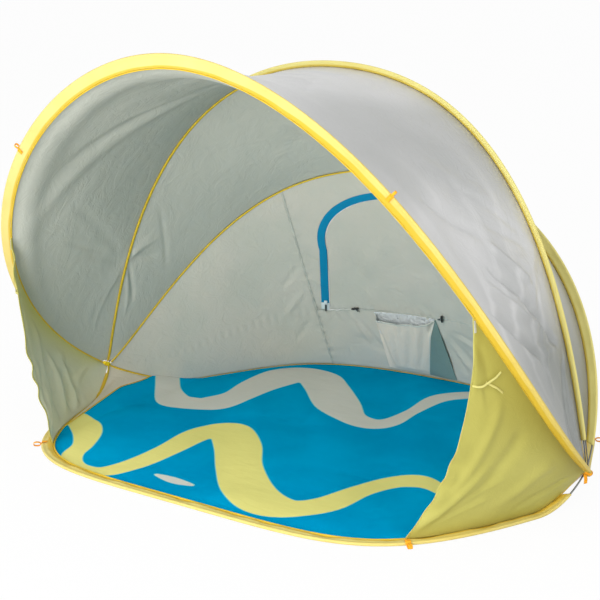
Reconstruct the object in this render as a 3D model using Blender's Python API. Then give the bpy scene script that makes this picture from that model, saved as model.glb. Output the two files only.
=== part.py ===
"""Pop-up beach tent.

Spring-steel hoops in fabric sleeves cross at the tent's left and right sides, a little above the
ground. Sewn panels between the hoops make the roof, the back wall, the groundsheet and two doorway
wings. The hoops gather about the line through the two crossings when the tent is folded.

Metres, +Z up. +X is the tent's right as seen from the doorway, and the doorway faces -Y.
All shapes are worked out about the fold line, and the last step sets the origin under the middle.
"""

import bmesh
import bpy
import numpy as np
from math import cos, pi, radians, sin
from mathutils import Matrix, Vector

# Main sizes
tent_width = 1.500
fold_line_height = 0.0788
front_arch_forward = 0.570
front_arch_height = 1.0200
front_arch_heel = 0.512
front_arch_heel_angle = radians(28.2)
middle_arch_back = 0.058
middle_arch_height = 0.9660
middle_arch_bow = 0.028
rear_arch_back = 0.363
rear_arch_height = 0.6720
rear_arch_heel = 0.293
rear_arch_heel_angle = radians(43.5)
floor_front_reach = 0.560
floor_back_reach = 0.680
floor_front_landing = 0.150
floor_back_landing = 0.265
floor_wire_height = 0.0058

# How each half hoop leaves a crossing and rounds its crown, seen square to its own plane
front_arch_leave = radians(77)
front_arch_round_shares = (0.546, 0.568)
middle_arch_leave = radians(98.7)
middle_arch_round_shares = (0.607, 0.594)
rear_arch_leave = radians(99.1)
rear_arch_round_shares = (0.523, 0.627)
floor_front_leave = radians(105.8)
floor_front_round_shares = (1.10, 0.619)
floor_back_leave = radians(121.2)
floor_back_round_shares = (0.763, 0.82)

# Wires and their crossings
hoop_wire_radius = 0.0020
middle_wire_radius = 0.0014
middle_wire_pitch = 0.0052
hoop_spread = 0.0062
tie_radius = 0.0065
tie_length = 0.026
ferrule_length = 0.022
ferrule_play = 0.0003
ferrule_wall = 0.0004
bore_clearance = 0.0002
wire_facets = 6

# Sleeves: widths are from the wire to the sewn seam
front_sleeve_width = 0.0305
rear_sleeve_width = 0.0240
floor_sleeve_width = 0.0300
middle_sleeve_width = 0.0120
sleeve_half_thickness = 0.0062
sleeve_seam_half = 0.0009
sleeve_wall = 0.0008
sleeve_taper_run = 0.040
floor_sleeve_crest = 0.0135
floor_sleeve_under = 0.0034
middle_sleeve_half_thickness = 0.0032
front_wire_outset = 0.0125
rear_wire_outset = 0.0080
middle_wire_outset = 0.0020
floor_wire_outset = 0.0080

# Cloth and the gaps that sewn pieces keep as solids
cloth = 0.0006
clearance = 0.0004
seam_gap = 0.0005
layer_gap = 0.0012

# Rear window with its three toggles, and the pocket
window_middle_x = 0.010
window_half_width = 0.303
window_rise = 0.184
window_squareness = 2.3
window_leg = 0.212
window_foot_flare = 0.045
zip_tape_width = 0.022
zip_tape_thickness = 0.0009
pocket_middle_x = -0.114
pocket_width = 0.192
pocket_drop = 0.150
pocket_mouth = 0.030
toggle_spacing = 0.263
toggle_length = 0.024
toggle_radius = 0.0032
toggle_cord = 0.0014
toggle_stem = 0.009
slider_length = 0.013
slider_width = 0.009
slider_height = 0.0045
pull_length = 0.026
pull_width = 0.006
pull_thickness = 0.0014

# Webbing loops and ribbons
loop_webbing = 0.0016
peg_loop_width = 0.010
peg_eye_length = 0.0160
peg_eye_height = 0.0080
guy_loop_width = 0.006
guy_eye_length = 0.0100
guy_eye_height = 0.0080
loop_corner = 0.0022
ribbon_width = 0.009
ribbon_length = 0.075
ribbon_thickness = 0.0008

# Folds and sag of the cloth
roof_sag = 0.020
wall_sag = 0.006
wing_fold_depth = 0.006
wing_edge_hollow_share = 0.06
wing_belly = 0.026

# Places along a hoop, as shares of its length from the right crossing
open_end_share = 0.006
panel_start_share = 0.015
sleeve_start_share = 0.030
first_even_share = 0.060
even_steps = 15
guy_loop_share = 0.3053
wing_top_step = 8
wing_columns = 13
floor_corner_step = 9
back_corner_step = 3
window_seam_step = 12
wall_seam_share = 0.675
back_peg_step = 8


lead_in_shares = (open_end_share, panel_start_share, sleeve_start_share)


def shares_along():
    """Stations that every hoop, sleeve and panel share, so that their facets line up."""
    half = list(lead_in_shares)
    half += list(np.linspace(first_even_share, 0.5, even_steps + 1))
    return np.array(half + [1 - s for s in reversed(half[:-1])])


stations = shares_along()
crown_step = len(stations) // 2
last_step = len(stations) - 1
panel_stations = stations[1:-1]
first_panel_step = 1


def unit(v):
    return v / np.maximum(np.linalg.norm(v, axis=-1, keepdims=True), 1e-12)


def square_to(v, axis):
    return unit(v - (v * axis).sum(-1, keepdims=True) * axis)


def taper(run):
    """How far a sleeve has opened out, from nothing at the crossing towards one."""
    return run / (run + sleeve_taper_run)


class Hoop:
    """Half a hoop's wire, from the right crossing over its crown to the left crossing.

    The hoop lies in a sheet that bends only in side view. Its sleeve lies in that sheet too,
    inside the wire. Fore is square to the sheet, and turns about the fold line from the floor's
    back over the roof towards the doorway."""

    def __init__(self, reach, leave, round_shares, spread, outset, width, profile):
        self.leave = leave
        self.width = width
        hip_share, crown_share = round_shares
        start = np.array([tent_width / 2 + spread, 0.0])
        heel = start + hip_share * reach * np.array([cos(leave), sin(leave)])
        shoulder = np.array([crown_share * tent_width / 2, reach])
        crown = np.array([0.0, reach])
        u = np.linspace(0, 1, 240)[:, None]
        side = (1 - u) ** 3 * start + 3 * u * (1 - u) ** 2 * heel
        side += 3 * u ** 2 * (1 - u) * shoulder + u ** 3 * crown
        flat = np.concatenate([side, side[-2::-1] * np.array([-1.0, 1.0])])
        way = unit(np.gradient(flat, axis=0))
        out = np.column_stack([way[:, 1], -way[:, 0]])
        run = path_length(flat)
        flat = flat + out * outset * taper(np.minimum(run, run[-1] - run))[:, None]
        near = outset / 10
        y, z = profile(flat[:, 1])
        y_on, z_on = profile(flat[:, 1] + near)
        rise = unit(np.column_stack([y_on - y, z_on - z]))
        self.points = np.column_stack([flat[:, 0], y, z])
        self.inner = -np.column_stack([out[:, 0], out[:, 1] * rise[:, 0], out[:, 1] * rise[:, 1]])
        self.front = np.column_stack([np.zeros(len(y)), -rise[:, 1], rise[:, 0]])
        run = path_length(self.points)
        self.length = run[-1]
        self.shares = run / run[-1]

    def pick(self, table, share):
        share = np.atleast_1d(share)
        return np.column_stack([np.interp(share, self.shares, table[:, k]) for k in range(3)])

    def at(self, share):
        return self.pick(self.points, share)

    def inward(self, share):
        return unit(self.pick(self.inner, share))

    def fore(self, share):
        return unit(self.pick(self.front, share))

    def run_to_crossing(self, share):
        share = np.atleast_1d(share)
        return np.minimum(share, 1 - share) * self.length

    def seam(self, share, past=0.0, fore=0.0):
        """The sewn seam. Past runs on into the panel, fore steps off to one side of the sleeve."""
        width = self.width * taper(self.run_to_crossing(share))[:, None]
        line = self.at(share) + self.inward(share) * (width + past) + self.fore(share) * fore
        if self.width == floor_sleeve_width:
            line[:, 2] -= (floor_wire_height - sleeve_seam_half - clearance) * (width / self.width)[:, 0]
        return line


def path_length(line):
    steps = np.linalg.norm(np.diff(line, axis=0), axis=1)
    return np.concatenate([[0.0], np.cumsum(steps)])


def bent_profile(heel, crown):
    """Side view of an arch: a smooth bend from the fold line to its crown, and a little past it."""
    u = np.linspace(0, 1.2, 241)[:, None]
    line = 2 * u * (1 - u) * np.array(heel) + u ** 2 * np.array(crown)
    run = path_length(line)
    reach = np.interp(1.0, u[:, 0], run)
    return reach, lambda out: (np.interp(out, run, line[:, 0]), np.interp(out, run, line[:, 1]))


def floor_profile(way, landing):
    """Side view of a floor hoop: down from the fold line, then flat on the ground."""
    drop = fold_line_height - floor_wire_height

    def profile(out):
        left = np.maximum(0, 1 - out / landing)
        return way * out, drop * left ** 2 - drop

    return profile


def arch(heel, crown, leave, round_shares, spread, outset, width):
    reach, profile = bent_profile(heel, crown)
    return Hoop(reach, leave, round_shares, spread, outset, width, profile)


front_arch = arch(
    (-front_arch_heel * cos(front_arch_heel_angle), front_arch_heel * sin(front_arch_heel_angle)),
    (-front_arch_forward, front_arch_height - fold_line_height),
    front_arch_leave, front_arch_round_shares, hoop_spread, front_wire_outset, front_sleeve_width)
middle_crown = np.array([middle_arch_back, middle_arch_height - fold_line_height])
middle_square = unit(np.array([-middle_crown[1], middle_crown[0]]))
middle_arch = arch(
    tuple(middle_crown / 2 + middle_square * middle_arch_bow), tuple(middle_crown),
    middle_arch_leave, middle_arch_round_shares, 0.0, middle_wire_outset, middle_sleeve_width)
rear_arch = arch(
    (rear_arch_heel * cos(rear_arch_heel_angle), rear_arch_heel * sin(rear_arch_heel_angle)),
    (rear_arch_back, rear_arch_height - fold_line_height),
    rear_arch_leave, rear_arch_round_shares, -hoop_spread, rear_wire_outset, rear_sleeve_width)
floor_front = Hoop(floor_front_reach, floor_front_leave, floor_front_round_shares, -hoop_spread,
                   floor_wire_outset, floor_sleeve_width, floor_profile(-1, floor_front_landing))
floor_back = Hoop(floor_back_reach, floor_back_leave, floor_back_round_shares, hoop_spread,
                  floor_wire_outset, floor_sleeve_width, floor_profile(1, floor_back_landing))

inside_point = np.array([0.0, 0.0, (middle_arch_height - fold_line_height) / 3])


# Scene helpers
for old in list(bpy.data.objects):
    bpy.data.objects.remove(old, do_unlink=True)

bodies = {}


def body(name, at=(0.0, 0.0, 0.0), under=None):
    """An empty on a moving piece's joint. Its children are modelled about the fold line."""
    empty = bpy.data.objects.new(name + "_joint", None)
    bpy.context.collection.objects.link(empty)
    empty.location = Vector(at) - (Vector(bodies[under][1]) if under else Vector())
    empty.parent = bodies[under][0] if under else None
    bodies[name] = (empty, tuple(at))
    return empty


def material(name, colour, roughness, metallic=0.0):
    found = bpy.data.materials.get(name)
    if found:
        return found
    made = bpy.data.materials.new(name)
    made.use_nodes = True
    shader = made.node_tree.nodes["Principled BSDF"]
    shader.inputs["Base Color"].default_value = (*colour, 1.0)
    shader.inputs["Roughness"].default_value = roughness
    shader.inputs["Metallic"].default_value = metallic
    made.diffuse_color = (*colour, 1.0)
    return made


def steel():
    return material("spring_steel", (0.42, 0.43, 0.44), 0.35, 1.0)


def sleeve_yellow():
    return material("sleeve_fabric", (0.86, 0.76, 0.24), 0.7)


def roof_silver():
    return material("roof_fabric", (0.56, 0.58, 0.57), 0.4)


def wing_yellow():
    return material("wing_fabric", (0.62, 0.58, 0.20), 0.6)


def floor_blue():
    return material("groundsheet_fabric", (0.0, 0.26, 0.45), 0.5)


def binding_blue():
    return material("zip_tape", (0.0, 0.24, 0.45), 0.6)


def webbing_orange():
    return material("webbing", (0.85, 0.42, 0.05), 0.7)


def black_plastic():
    return material("toggle_plastic", (0.02, 0.02, 0.02), 0.4)


def keep(obj, carrier, paint):
    """Parent an object, modelled about the fold line, to the joint that carries it."""
    empty, at = bodies[carrier]
    if obj.type == "MESH":
        obj.data.transform(Matrix.Translation(-Vector(at)))
    else:
        obj.location = -Vector(at)
    obj.parent = empty
    obj.data.materials.clear()
    obj.data.materials.append(paint)
    return obj


def mesh_object(name, bm, smooth_angle=radians(35)):
    bmesh.ops.recalc_face_normals(bm, faces=bm.faces)
    mesh = bpy.data.meshes.new(name)
    bm.to_mesh(mesh)
    bm.free()
    mesh.shade_smooth()
    mesh.set_sharp_from_angle(angle=smooth_angle)
    obj = bpy.data.objects.new(name, mesh)
    bpy.context.collection.objects.link(obj)
    return obj


def grid_mesh(rows):
    """A sheet of quads through rows of points."""
    bm = bmesh.new()
    lines = [[bm.verts.new(p) for p in row] for row in rows]
    for near, far in zip(lines, lines[1:]):
        for k in range(len(near) - 1):
            bm.faces.new((near[k], near[k + 1], far[k + 1], far[k]))
    return bm


def sheet(name, rows, thickness=cloth):
    """A cloth panel of even thickness about the surface through rows of points."""
    obj = mesh_object(name, grid_mesh(rows))
    shell = obj.modifiers.new("cloth", "SOLIDIFY")
    shell.thickness = thickness
    shell.offset = 0.0
    return obj


def ring_walls(bm, rings):
    loops = [[bm.verts.new(p) for p in ring] for ring in rings]
    count = len(loops[0])
    for near, far in zip(loops, loops[1:]):
        for k in range(count):
            after = (k + 1) % count
            bm.faces.new((near[k], near[after], far[after], far[k]))
    return loops


def loop_edges(bm, loop):
    return [bm.edges.get((loop[k], loop[(k + 1) % len(loop)])) for k in range(len(loop))]


def hollow_sweep(name, outer, inner):
    """A tube with its own bore: outer and inner rings station by station, open at both ends."""
    bm = bmesh.new()
    skin = ring_walls(bm, outer)
    bore = ring_walls(bm, inner)
    for end in (0, -1):
        near, far = skin[end], bore[end]
        if len(near) == len(far):
            for k in range(len(near)):
                after = (k + 1) % len(near)
                bm.faces.new((near[k], near[after], far[after], far[k]))
        else:
            bmesh.ops.bridge_loops(bm, edges=loop_edges(bm, near) + loop_edges(bm, far))
    return mesh_object(name, bm, radians(50))


def wire(name, line, radius, carrier, paint):
    """A round wire along a line of points, with filled ends."""
    curve = bpy.data.curves.new(name, "CURVE")
    curve.dimensions = "3D"
    curve.bevel_depth = radius
    curve.bevel_resolution = (wire_facets - 4) // 2
    curve.use_fill_caps = True
    spline = curve.splines.new("POLY")
    spline.points.add(len(line) - 1)
    for point, place in zip(spline.points, line):
        point.co = (*place, 1.0)
    obj = bpy.data.objects.new(name, curve)
    bpy.context.collection.objects.link(obj)
    return keep(obj, carrier, paint)


def wire_stations(hoop, start_run):
    first = start_run / hoop.length
    return np.concatenate([[first], stations, [1 - first]])


def oval(points, place, across, up):
    """Ring of points given as (across, up) pairs about a place."""
    return [place + across * a + up * b for a, b in points]


def round_points(radius, count, turn=0.0):
    return [(radius * cos(turn + 2 * pi * k / count), radius * sin(turn + 2 * pi * k / count))
            for k in range(count)]


# Hoops
ferrule_radius = hoop_wire_radius + ferrule_play + ferrule_wall
bore_radius = (ferrule_radius + bore_clearance) / cos(pi / wire_facets)


def wire_start(leave, radius):
    """Length of a wire, from the fold line, that the webbing tie takes up."""
    return (tie_radius + clearance * 5 / 2 + radius * abs(cos(leave))) / sin(leave)


def hoop_wire(name, hoop, carrier):
    line = hoop.at(wire_stations(hoop, wire_start(hoop.leave, hoop_wire_radius)))
    return wire(name, line, hoop_wire_radius, carrier, steel())


def sleeve_shares(start_share):
    return np.array([s for s in stations if start_share - 1e-9 <= s <= 1 - start_share + 1e-9])


def hoop_sleeve(name, hoop, carrier, start_share, crest=sleeve_half_thickness, under=sleeve_half_thickness):
    """Teardrop sleeve: the wire runs in its round outer edge, and its thin edge is the seam."""
    share = sleeve_shares(start_share)
    place = hoop.at(share)
    line = hoop.seam(share) - place
    across = unit(line)
    up = square_to(hoop.fore(share) * (-1 if hoop is floor_front else 1), across)
    nose = bore_radius + sleeve_wall
    outer = []
    inner = []
    for p, a, u, w in zip(place, across, up, np.linalg.norm(line, axis=1)):
        opened = w / hoop.width
        top = max(crest * opened, nose * 0.9)
        low = max(under * opened, nose * 0.9) if under == crest else under
        profile = [(-nose, 0.0), (-nose * 0.6, nose * 0.8), (w * 0.32, top), (w * 0.72, top * 0.6),
                   (w, sleeve_seam_half), (w, -sleeve_seam_half), (w * 0.72, -low * 0.6),
                   (w * 0.32, -low), (-nose * 0.6, -nose * 0.8)]
        outer.append(oval(profile, p, a, u))
        inner.append(oval(round_points(bore_radius, wire_facets, pi / 2), p, a, u))
    return keep(hollow_sweep(name, outer, inner), carrier, sleeve_yellow())


def middle_lines():
    """The two thin wires of the middle arch, side by side in its sleeve."""
    share = wire_stations(middle_arch, wire_start(middle_arch_leave, middle_wire_radius * 2))
    side = middle_arch.inward(share) * middle_wire_pitch / 2
    return middle_arch.at(share) - side, middle_arch.at(share) + side


def middle_sleeve(name, carrier):
    """Flat sleeve that stands on the roof seam, with room for both wires side by side."""
    share = sleeve_shares(sleeve_start_share)
    place = middle_arch.at(share)
    across = middle_arch.inward(share)
    up = middle_arch.fore(share)
    h = middle_sleeve_half_thickness
    room = middle_wire_pitch / 2 + middle_wire_radius + clearance * 2
    lift = middle_wire_radius + clearance
    bore = [(-room, -lift * 0.5), (-room, lift * 0.5), (-room * 0.5, lift), (room * 0.5, lift),
            (room, lift * 0.5), (room, -lift * 0.5), (room * 0.5, -lift), (-room * 0.5, -lift)]
    width = np.linalg.norm(middle_arch.seam(share) - place, axis=1)
    outer = []
    for p, a, u, w in zip(place, across, up, width):
        w = max(w, room + sleeve_wall)
        skin = [(-w, -h * 0.5), (-w, h * 0.5), (-w * 0.45, h), (w * 0.45, h),
                (w, sleeve_seam_half), (w, -sleeve_seam_half), (w * 0.45, -h), (-w * 0.45, -h)]
        outer.append(oval(skin, p, a, u))
    inner = [oval(bore, *frame) for frame in zip(place, across, up)]
    return keep(hollow_sweep(name, outer, inner), carrier, sleeve_yellow())


def ferrule(name, hoop, carrier):
    """Crimped tube over the joint of a hoop's wire, hidden in the sleeve beside its crown."""
    near, far = hoop.at(stations[crown_step:crown_step + 2])
    way = unit(far - near)
    middle = (near + far) / 2
    side = square_to(np.array([0.0, 0.0, 1.0]), way)
    rise = np.cross(way, side)
    ends = (middle - way * ferrule_length / 2, middle + way * ferrule_length / 2)
    outer = [oval(round_points(ferrule_radius, wire_facets * 2), end, side, rise) for end in ends]
    room = (hoop_wire_radius + ferrule_play)
    inner = [oval(round_points(room, wire_facets * 2), end, side, rise) for end in ends]
    return keep(hollow_sweep(name, outer, inner), carrier, steel())


body("tent_base")
body("floor_front_hoop")
body("front_arch_hoop", under="floor_front_hoop")
body("middle_arch_hoop", under="front_arch_hoop")

hoop_wire("floor_back_wire", floor_back, "tent_base")
hoop_wire("rear_arch_wire", rear_arch, "tent_base")
hoop_wire("floor_front_wire", floor_front, "floor_front_hoop")
hoop_wire("front_arch_wire", front_arch, "front_arch_hoop")
middle_fore, middle_aft = middle_lines()
wire("middle_arch_wire_front", middle_fore, middle_wire_radius, "middle_arch_hoop", steel())
wire("middle_arch_wire_rear", middle_aft, middle_wire_radius, "middle_arch_hoop", steel())

floor_shape = (floor_sleeve_crest, floor_sleeve_under)
hoop_sleeve("floor_back_sleeve", floor_back, "tent_base", sleeve_start_share, *floor_shape)
hoop_sleeve("rear_arch_sleeve", rear_arch, "tent_base", sleeve_start_share)
hoop_sleeve("floor_front_sleeve", floor_front, "floor_front_hoop", sleeve_start_share, *floor_shape)
hoop_sleeve("front_arch_sleeve", front_arch, "front_arch_hoop", open_end_share)
middle_sleeve("middle_arch_sleeve", "middle_arch_hoop")

ferrule("floor_back_ferrule", floor_back, "tent_base")
ferrule("floor_front_ferrule", floor_front, "floor_front_hoop")


# Panels
def between(edge_a, edge_b, steps, sag=0.0, sag_way=None):
    """Rows of points from one edge to another, sagging in the middle along sag_way."""
    rows = []
    for k in range(steps + 1):
        v = k / steps
        row = edge_a * (1 - v) + edge_b * v
        if sag_way is not None:
            row = row + sag_way * sag * 4 * v * (1 - v)
        rows.append(row)
    return rows


def inward_sag(edge_a, edge_b):
    """Sag direction with its size: square to the panel, none at the crossings, full at the crown."""
    span = unit(edge_b - edge_a)
    middle = (edge_a + edge_b) / 2
    along = unit(np.gradient(middle, axis=0))
    way = square_to(inside_point - middle, span)
    way = square_to(way, along)
    return way * np.sin(np.linspace(0, pi, len(span)))[:, None]


step_apart = layer_gap
roof_front_edges = (front_arch.seam(panel_stations, past=seam_gap, fore=-step_apart),
                    middle_arch.seam(panel_stations, past=seam_gap, fore=step_apart))
roof_front_rows = between(*roof_front_edges, 5, roof_sag, inward_sag(*roof_front_edges))
keep(sheet("roof_front_panel", roof_front_rows), "front_arch_hoop", roof_silver())
roof_rear_edges = (middle_arch.seam(panel_stations, past=seam_gap, fore=-step_apart),
                   rear_arch.seam(panel_stations, past=seam_gap, fore=step_apart))
roof_rear_rows = between(*roof_rear_edges, 4, roof_sag / 2, inward_sag(*roof_rear_edges))
keep(sheet("roof_rear_panel", roof_rear_rows), "tent_base", roof_silver())

wall_top = rear_arch.seam(stations, past=seam_gap, fore=-step_apart)
wall_foot = floor_back.seam(stations, past=seam_gap, fore=step_apart + sleeve_seam_half)
wall_way = inward_sag(wall_top, wall_foot)


def wall_points(share_down, steps=None):
    """Back wall at a share of the way down from the rear arch to the floor."""
    picked = slice(None) if steps is None else steps
    v = share_down
    line = wall_top[picked] * (1 - v) + wall_foot[picked] * v
    return line + wall_way[picked] * wall_sag * 4 * v * (1 - v)


left_seam = last_step - window_seam_step
right_seam = window_seam_step


def wall_panel(name, first, last, top, foot, downs, trim=(0, 0)):
    """Part of the back wall between two stations, with its cut edges drawn back by a seam gap."""
    rows = []
    for k in range(downs + 1):
        v = top + (foot - top) * k / downs
        row = wall_points(v, slice(first, last + 1))
        if trim[0]:
            row[0] += unit(row[1] - row[0]) * seam_gap
        if trim[1]:
            row[-1] += unit(row[-2] - row[-1]) * seam_gap
        rows.append(row)
    return sheet(name, rows)


height_of_wall = np.linalg.norm(wall_top[crown_step] - wall_foot[crown_step])
seam_gap_share = seam_gap / height_of_wall
right = wall_panel("back_panel_right", first_panel_step, right_seam, 0, 1, 6, (0, 1))
keep(right, "tent_base", roof_silver())
left = wall_panel("back_panel_left", left_seam, last_step - first_panel_step, 0, 1, 6, (1, 0))
keep(left, "tent_base", roof_silver())
above_seam = wall_seam_share - seam_gap_share
below_seam = wall_seam_share + seam_gap_share
upper = wall_panel("back_panel_upper", right_seam, left_seam, 0, above_seam, 6, (1, 1))
keep(upper, "tent_base", roof_silver())
lower = wall_panel("back_panel_lower", right_seam, left_seam, below_seam, 1, 3, (1, 1))
keep(lower, "tent_base", roof_silver())


# Rear window with its flap, zip tape and slider
def wall_at(x, v):
    """Point of the back wall at a place across and a share of the way down."""
    line = wall_points(v)
    return np.array([x, np.interp(-x, -line[:, 0], line[:, 1]), np.interp(-x, -line[:, 0], line[:, 2])])


window_foot = wall_at(window_middle_x, wall_seam_share)
window_up = unit(wall_at(window_middle_x, wall_seam_share * 0.2) - window_foot)
window_out = np.array([0.0, window_up[2], -window_up[1]])


def window_outline(grow, foot, count=12):
    """Outline about the window's foot: flared legs under one wide arch, squarer than an ellipse."""
    half = window_half_width + grow
    rise = window_rise + grow
    turns = [pi / 2 * k / count for k in range(count)]
    power = 2 / window_squareness
    right_half = [(half + window_foot_flare, foot)]
    right_half += [(half * cos(turn) ** power, window_leg + rise * sin(turn) ** power) for turn in turns]
    left_half = [(-a, b) for a, b in reversed(right_half)]
    return right_half + [(0.0, window_leg + rise)] + left_half


def window_block(name, grow, foot):
    """A solid block of the window's outline, standing through the wall: a cutter, not a piece."""
    depth = window_rise
    bm = bmesh.new()
    ring = []
    for a, b in window_outline(grow, foot):
        place = window_foot + np.array([a, 0.0, 0.0]) + window_up * b - window_out * depth
        ring.append(bm.verts.new(place))
    face = bm.faces.new(ring)
    pushed = bmesh.ops.extrude_face_region(bm, geom=[face])
    moved = [v for v in pushed["geom"] if isinstance(v, bmesh.types.BMVert)]
    bmesh.ops.translate(bm, verts=moved, vec=Vector(window_out * depth * 2))
    obj = mesh_object(name, bm)
    obj.hide_render = True
    obj.display_type = "WIRE"
    obj.parent = bodies["tent_base"][0]
    return obj


def cut(obj, block, operation):
    boolean = obj.modifiers.new(operation.lower(), "BOOLEAN")
    boolean.operation = operation
    boolean.solver = "EXACT"
    boolean.object = block


window_hole = window_block("window_hole_cutter", 0.0, -window_leg / 4)
flap_block = window_block("flap_cutter", -seam_gap * 2, -window_leg / 4)
tape_outer = window_block("tape_outer_cutter", zip_tape_width, seam_gap)
tape_inner = window_block("tape_inner_cutter", seam_gap, -window_leg / 4)
cut(upper, window_hole, "DIFFERENCE")

flap_hinge = wall_at(window_middle_x, wall_seam_share)
body("rear_window_flap", at=tuple(flap_hinge), under="tent_base")
flap = wall_panel("rear_window_flap", right_seam, left_seam, 0, above_seam, 6)
cut(flap, flap_block, "INTERSECT")
keep(flap, "rear_window_flap", roof_silver())

tape_rows = []
tape_lift = cloth / 2 + zip_tape_thickness / 2 + clearance * 2
middle_steps = slice(right_seam, left_seam + 1)
for k in range(7):
    v = above_seam * k / 6
    tape_rows.append(wall_points(v, middle_steps) + unit(wall_way[middle_steps]) * tape_lift)
tape = sheet("window_zip_tape", tape_rows, zip_tape_thickness)
cut(tape, tape_outer, "INTERSECT")
cut(tape, tape_inner, "DIFFERENCE")
keep(tape, "tent_base", binding_blue())


def rounded_box(size, corner, segments=2):
    """Box with rounded edges, centred on its own origin."""
    bm = bmesh.new()
    bmesh.ops.create_cube(bm, size=1.0)
    bmesh.ops.scale(bm, vec=Vector(size), verts=bm.verts)
    bmesh.ops.bevel(bm, geom=bm.edges[:], offset=corner, affect="EDGES", segments=segments, profile=0.5)
    return bm


def frame_at(place, x_way, z_way):
    """Placing matrix with its X and Z along two directions."""
    z = Vector(z_way).normalized()
    y = z.cross(Vector(x_way)).normalized()
    x = y.cross(z)
    turned = Matrix((x, y, z)).transposed().to_4x4()
    return Matrix.Translation(Vector(place)) @ turned


def zip_slider():
    """Slider body on the tape's left leg, with its pull lying down along the tape."""
    leg = np.array([window_foot_flare, window_leg])
    up_share = (pull_length + slider_length) / np.linalg.norm(leg)
    across = -(window_half_width + window_foot_flare + zip_tape_width / 2) + leg[0] * up_share
    x = window_middle_x + across
    v = wall_seam_share - leg[1] * up_share / height_of_wall
    place = wall_at(x, v)
    head = wall_at(x + leg[0] / 2, v - leg[1] / 2 / height_of_wall)
    beside = wall_at(x + zip_tape_width, v)
    way = unit(head - place)
    inward = unit(np.cross(way, beside - place))
    inward *= np.sign(-inward[1])
    lift = tape_lift + zip_tape_thickness / 2 + clearance + slider_height / 2
    place = place + inward * lift
    bm = rounded_box((slider_width, slider_length, slider_height), slider_height / 4)
    bmesh.ops.transform(bm, matrix=frame_at(place, np.cross(way, inward), inward), verts=bm.verts)
    body("zip_slider", at=tuple(place), under="tent_base")
    keep(mesh_object("zip_slider", bm), "zip_slider", black_plastic())
    pull = rounded_box((pull_width, pull_length, pull_thickness), pull_thickness / 3, 1)
    drop = place - way * (slider_length / 2 + pull_length / 2 + clearance)
    bmesh.ops.transform(pull, matrix=frame_at(drop, np.cross(way, inward), inward), verts=pull.verts)
    keep(mesh_object("zip_pull", pull), "zip_slider", steel())
    return place, way


slider_place, slider_way = zip_slider()


# Pocket and toggles
def pocket():
    """Patch pocket on the lower back panel: flat at its foot and sides, gaping at its mouth."""
    top = wall_seam_share + seam_gap_share * 30
    deep = pocket_drop / height_of_wall
    rows = []
    columns = 9
    for k in range(6):
        down = k / 5
        row = []
        for c in range(columns):
            across = c / (columns - 1)
            x = pocket_middle_x - pocket_width * (across - 0.5)
            gape = pocket_mouth * (1 - down) ** 1.5 * sin(pi * across) ** 0.7
            base = wall_at(x, top + deep * down)
            row.append(base - window_out * (cloth + clearance * 2 + gape))
        rows.append(np.array(row))
    return rows


pocket_rows = pocket()
keep(sheet("back_wall_pocket", pocket_rows), "tent_base", roof_silver())


def toggle(name, x):
    """Barrel toggle on a short cord stem that hangs from the seam under the window."""
    top = wall_at(x, wall_seam_share + seam_gap_share * 2)
    place = top - window_out * (cloth / 2 + clearance + toggle_cord)
    one_end = wall_at(x - toggle_length / 2, wall_seam_share)
    other_end = wall_at(x + toggle_length / 2, wall_seam_share)
    wall_run = other_end - one_end
    wall_turn = np.arctan2(wall_run[1], wall_run[0])
    bm = bmesh.new()
    made = bmesh.ops.create_cone(bm, cap_ends=True, segments=8, radius1=toggle_cord,
                                 radius2=toggle_cord, depth=toggle_stem)
    bmesh.ops.translate(bm, verts=made["verts"], vec=(0, 0, -toggle_stem / 2))
    stem = mesh_object(name, bm)
    barrel_mesh = bmesh.new()
    bmesh.ops.create_cone(barrel_mesh, cap_ends=True, segments=12, radius1=toggle_radius,
                          radius2=toggle_radius, depth=toggle_length)
    along_wall = Matrix.Rotation(wall_turn, 3, "Z") @ Matrix.Rotation(pi / 2, 3, "Y")
    bmesh.ops.rotate(barrel_mesh, verts=barrel_mesh.verts, matrix=along_wall)
    bmesh.ops.translate(barrel_mesh, verts=barrel_mesh.verts, vec=(0, 0, -toggle_stem))
    barrel = mesh_object(name + "_barrel_cutter", barrel_mesh)
    barrel.hide_render = True
    barrel.display_type = "WIRE"
    stem.data.transform(Matrix.Translation(Vector(place)))
    body(name, at=tuple(place), under="tent_base")
    barrel.parent = bodies[name][0]
    cut(stem, barrel, "UNION")
    keep(stem, name, black_plastic())
    return place


toggle_places = [toggle("toggle_left", window_middle_x - toggle_spacing),
                 toggle("toggle_middle", window_middle_x),
                 toggle("toggle_right", window_middle_x + toggle_spacing)]


# Groundsheet, side gussets and doorway wings
sheet_height = -fold_line_height + cloth / 2


def floor_edge(hoop, corner_step, past):
    line = hoop.seam(stations[corner_step:last_step - corner_step + 1], past=past)
    line[:, 2] = sheet_height
    return line


def spaced(line, count):
    """The same line with evenly spaced points."""
    steps = np.linalg.norm(np.diff(line, axis=0), axis=1)
    run = np.concatenate([[0.0], np.cumsum(steps)])
    places = np.linspace(0, run[-1], count)
    return np.column_stack([np.interp(places, run, line[:, k]) for k in range(3)])


def groundsheet():
    """One flat sheet between the two floor hoops: its corners lie where the hoops leave the ground."""
    front = floor_edge(floor_front, floor_corner_step, seam_gap)
    back = floor_edge(floor_back, back_corner_step, seam_gap)
    bm = bmesh.new()
    ring = [bm.verts.new(p) for p in list(front) + list(back[::-1])]
    face = bm.faces.new(ring)
    pushed = bmesh.ops.extrude_face_region(bm, geom=[face])
    moved = [v for v in pushed["geom"] if isinstance(v, bmesh.types.BMVert)]
    bmesh.ops.translate(bm, verts=moved, vec=(0, 0, cloth))
    bmesh.ops.translate(bm, verts=bm.verts, vec=(0, 0, -cloth / 2))
    return mesh_object("groundsheet", bm), front, back


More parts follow.
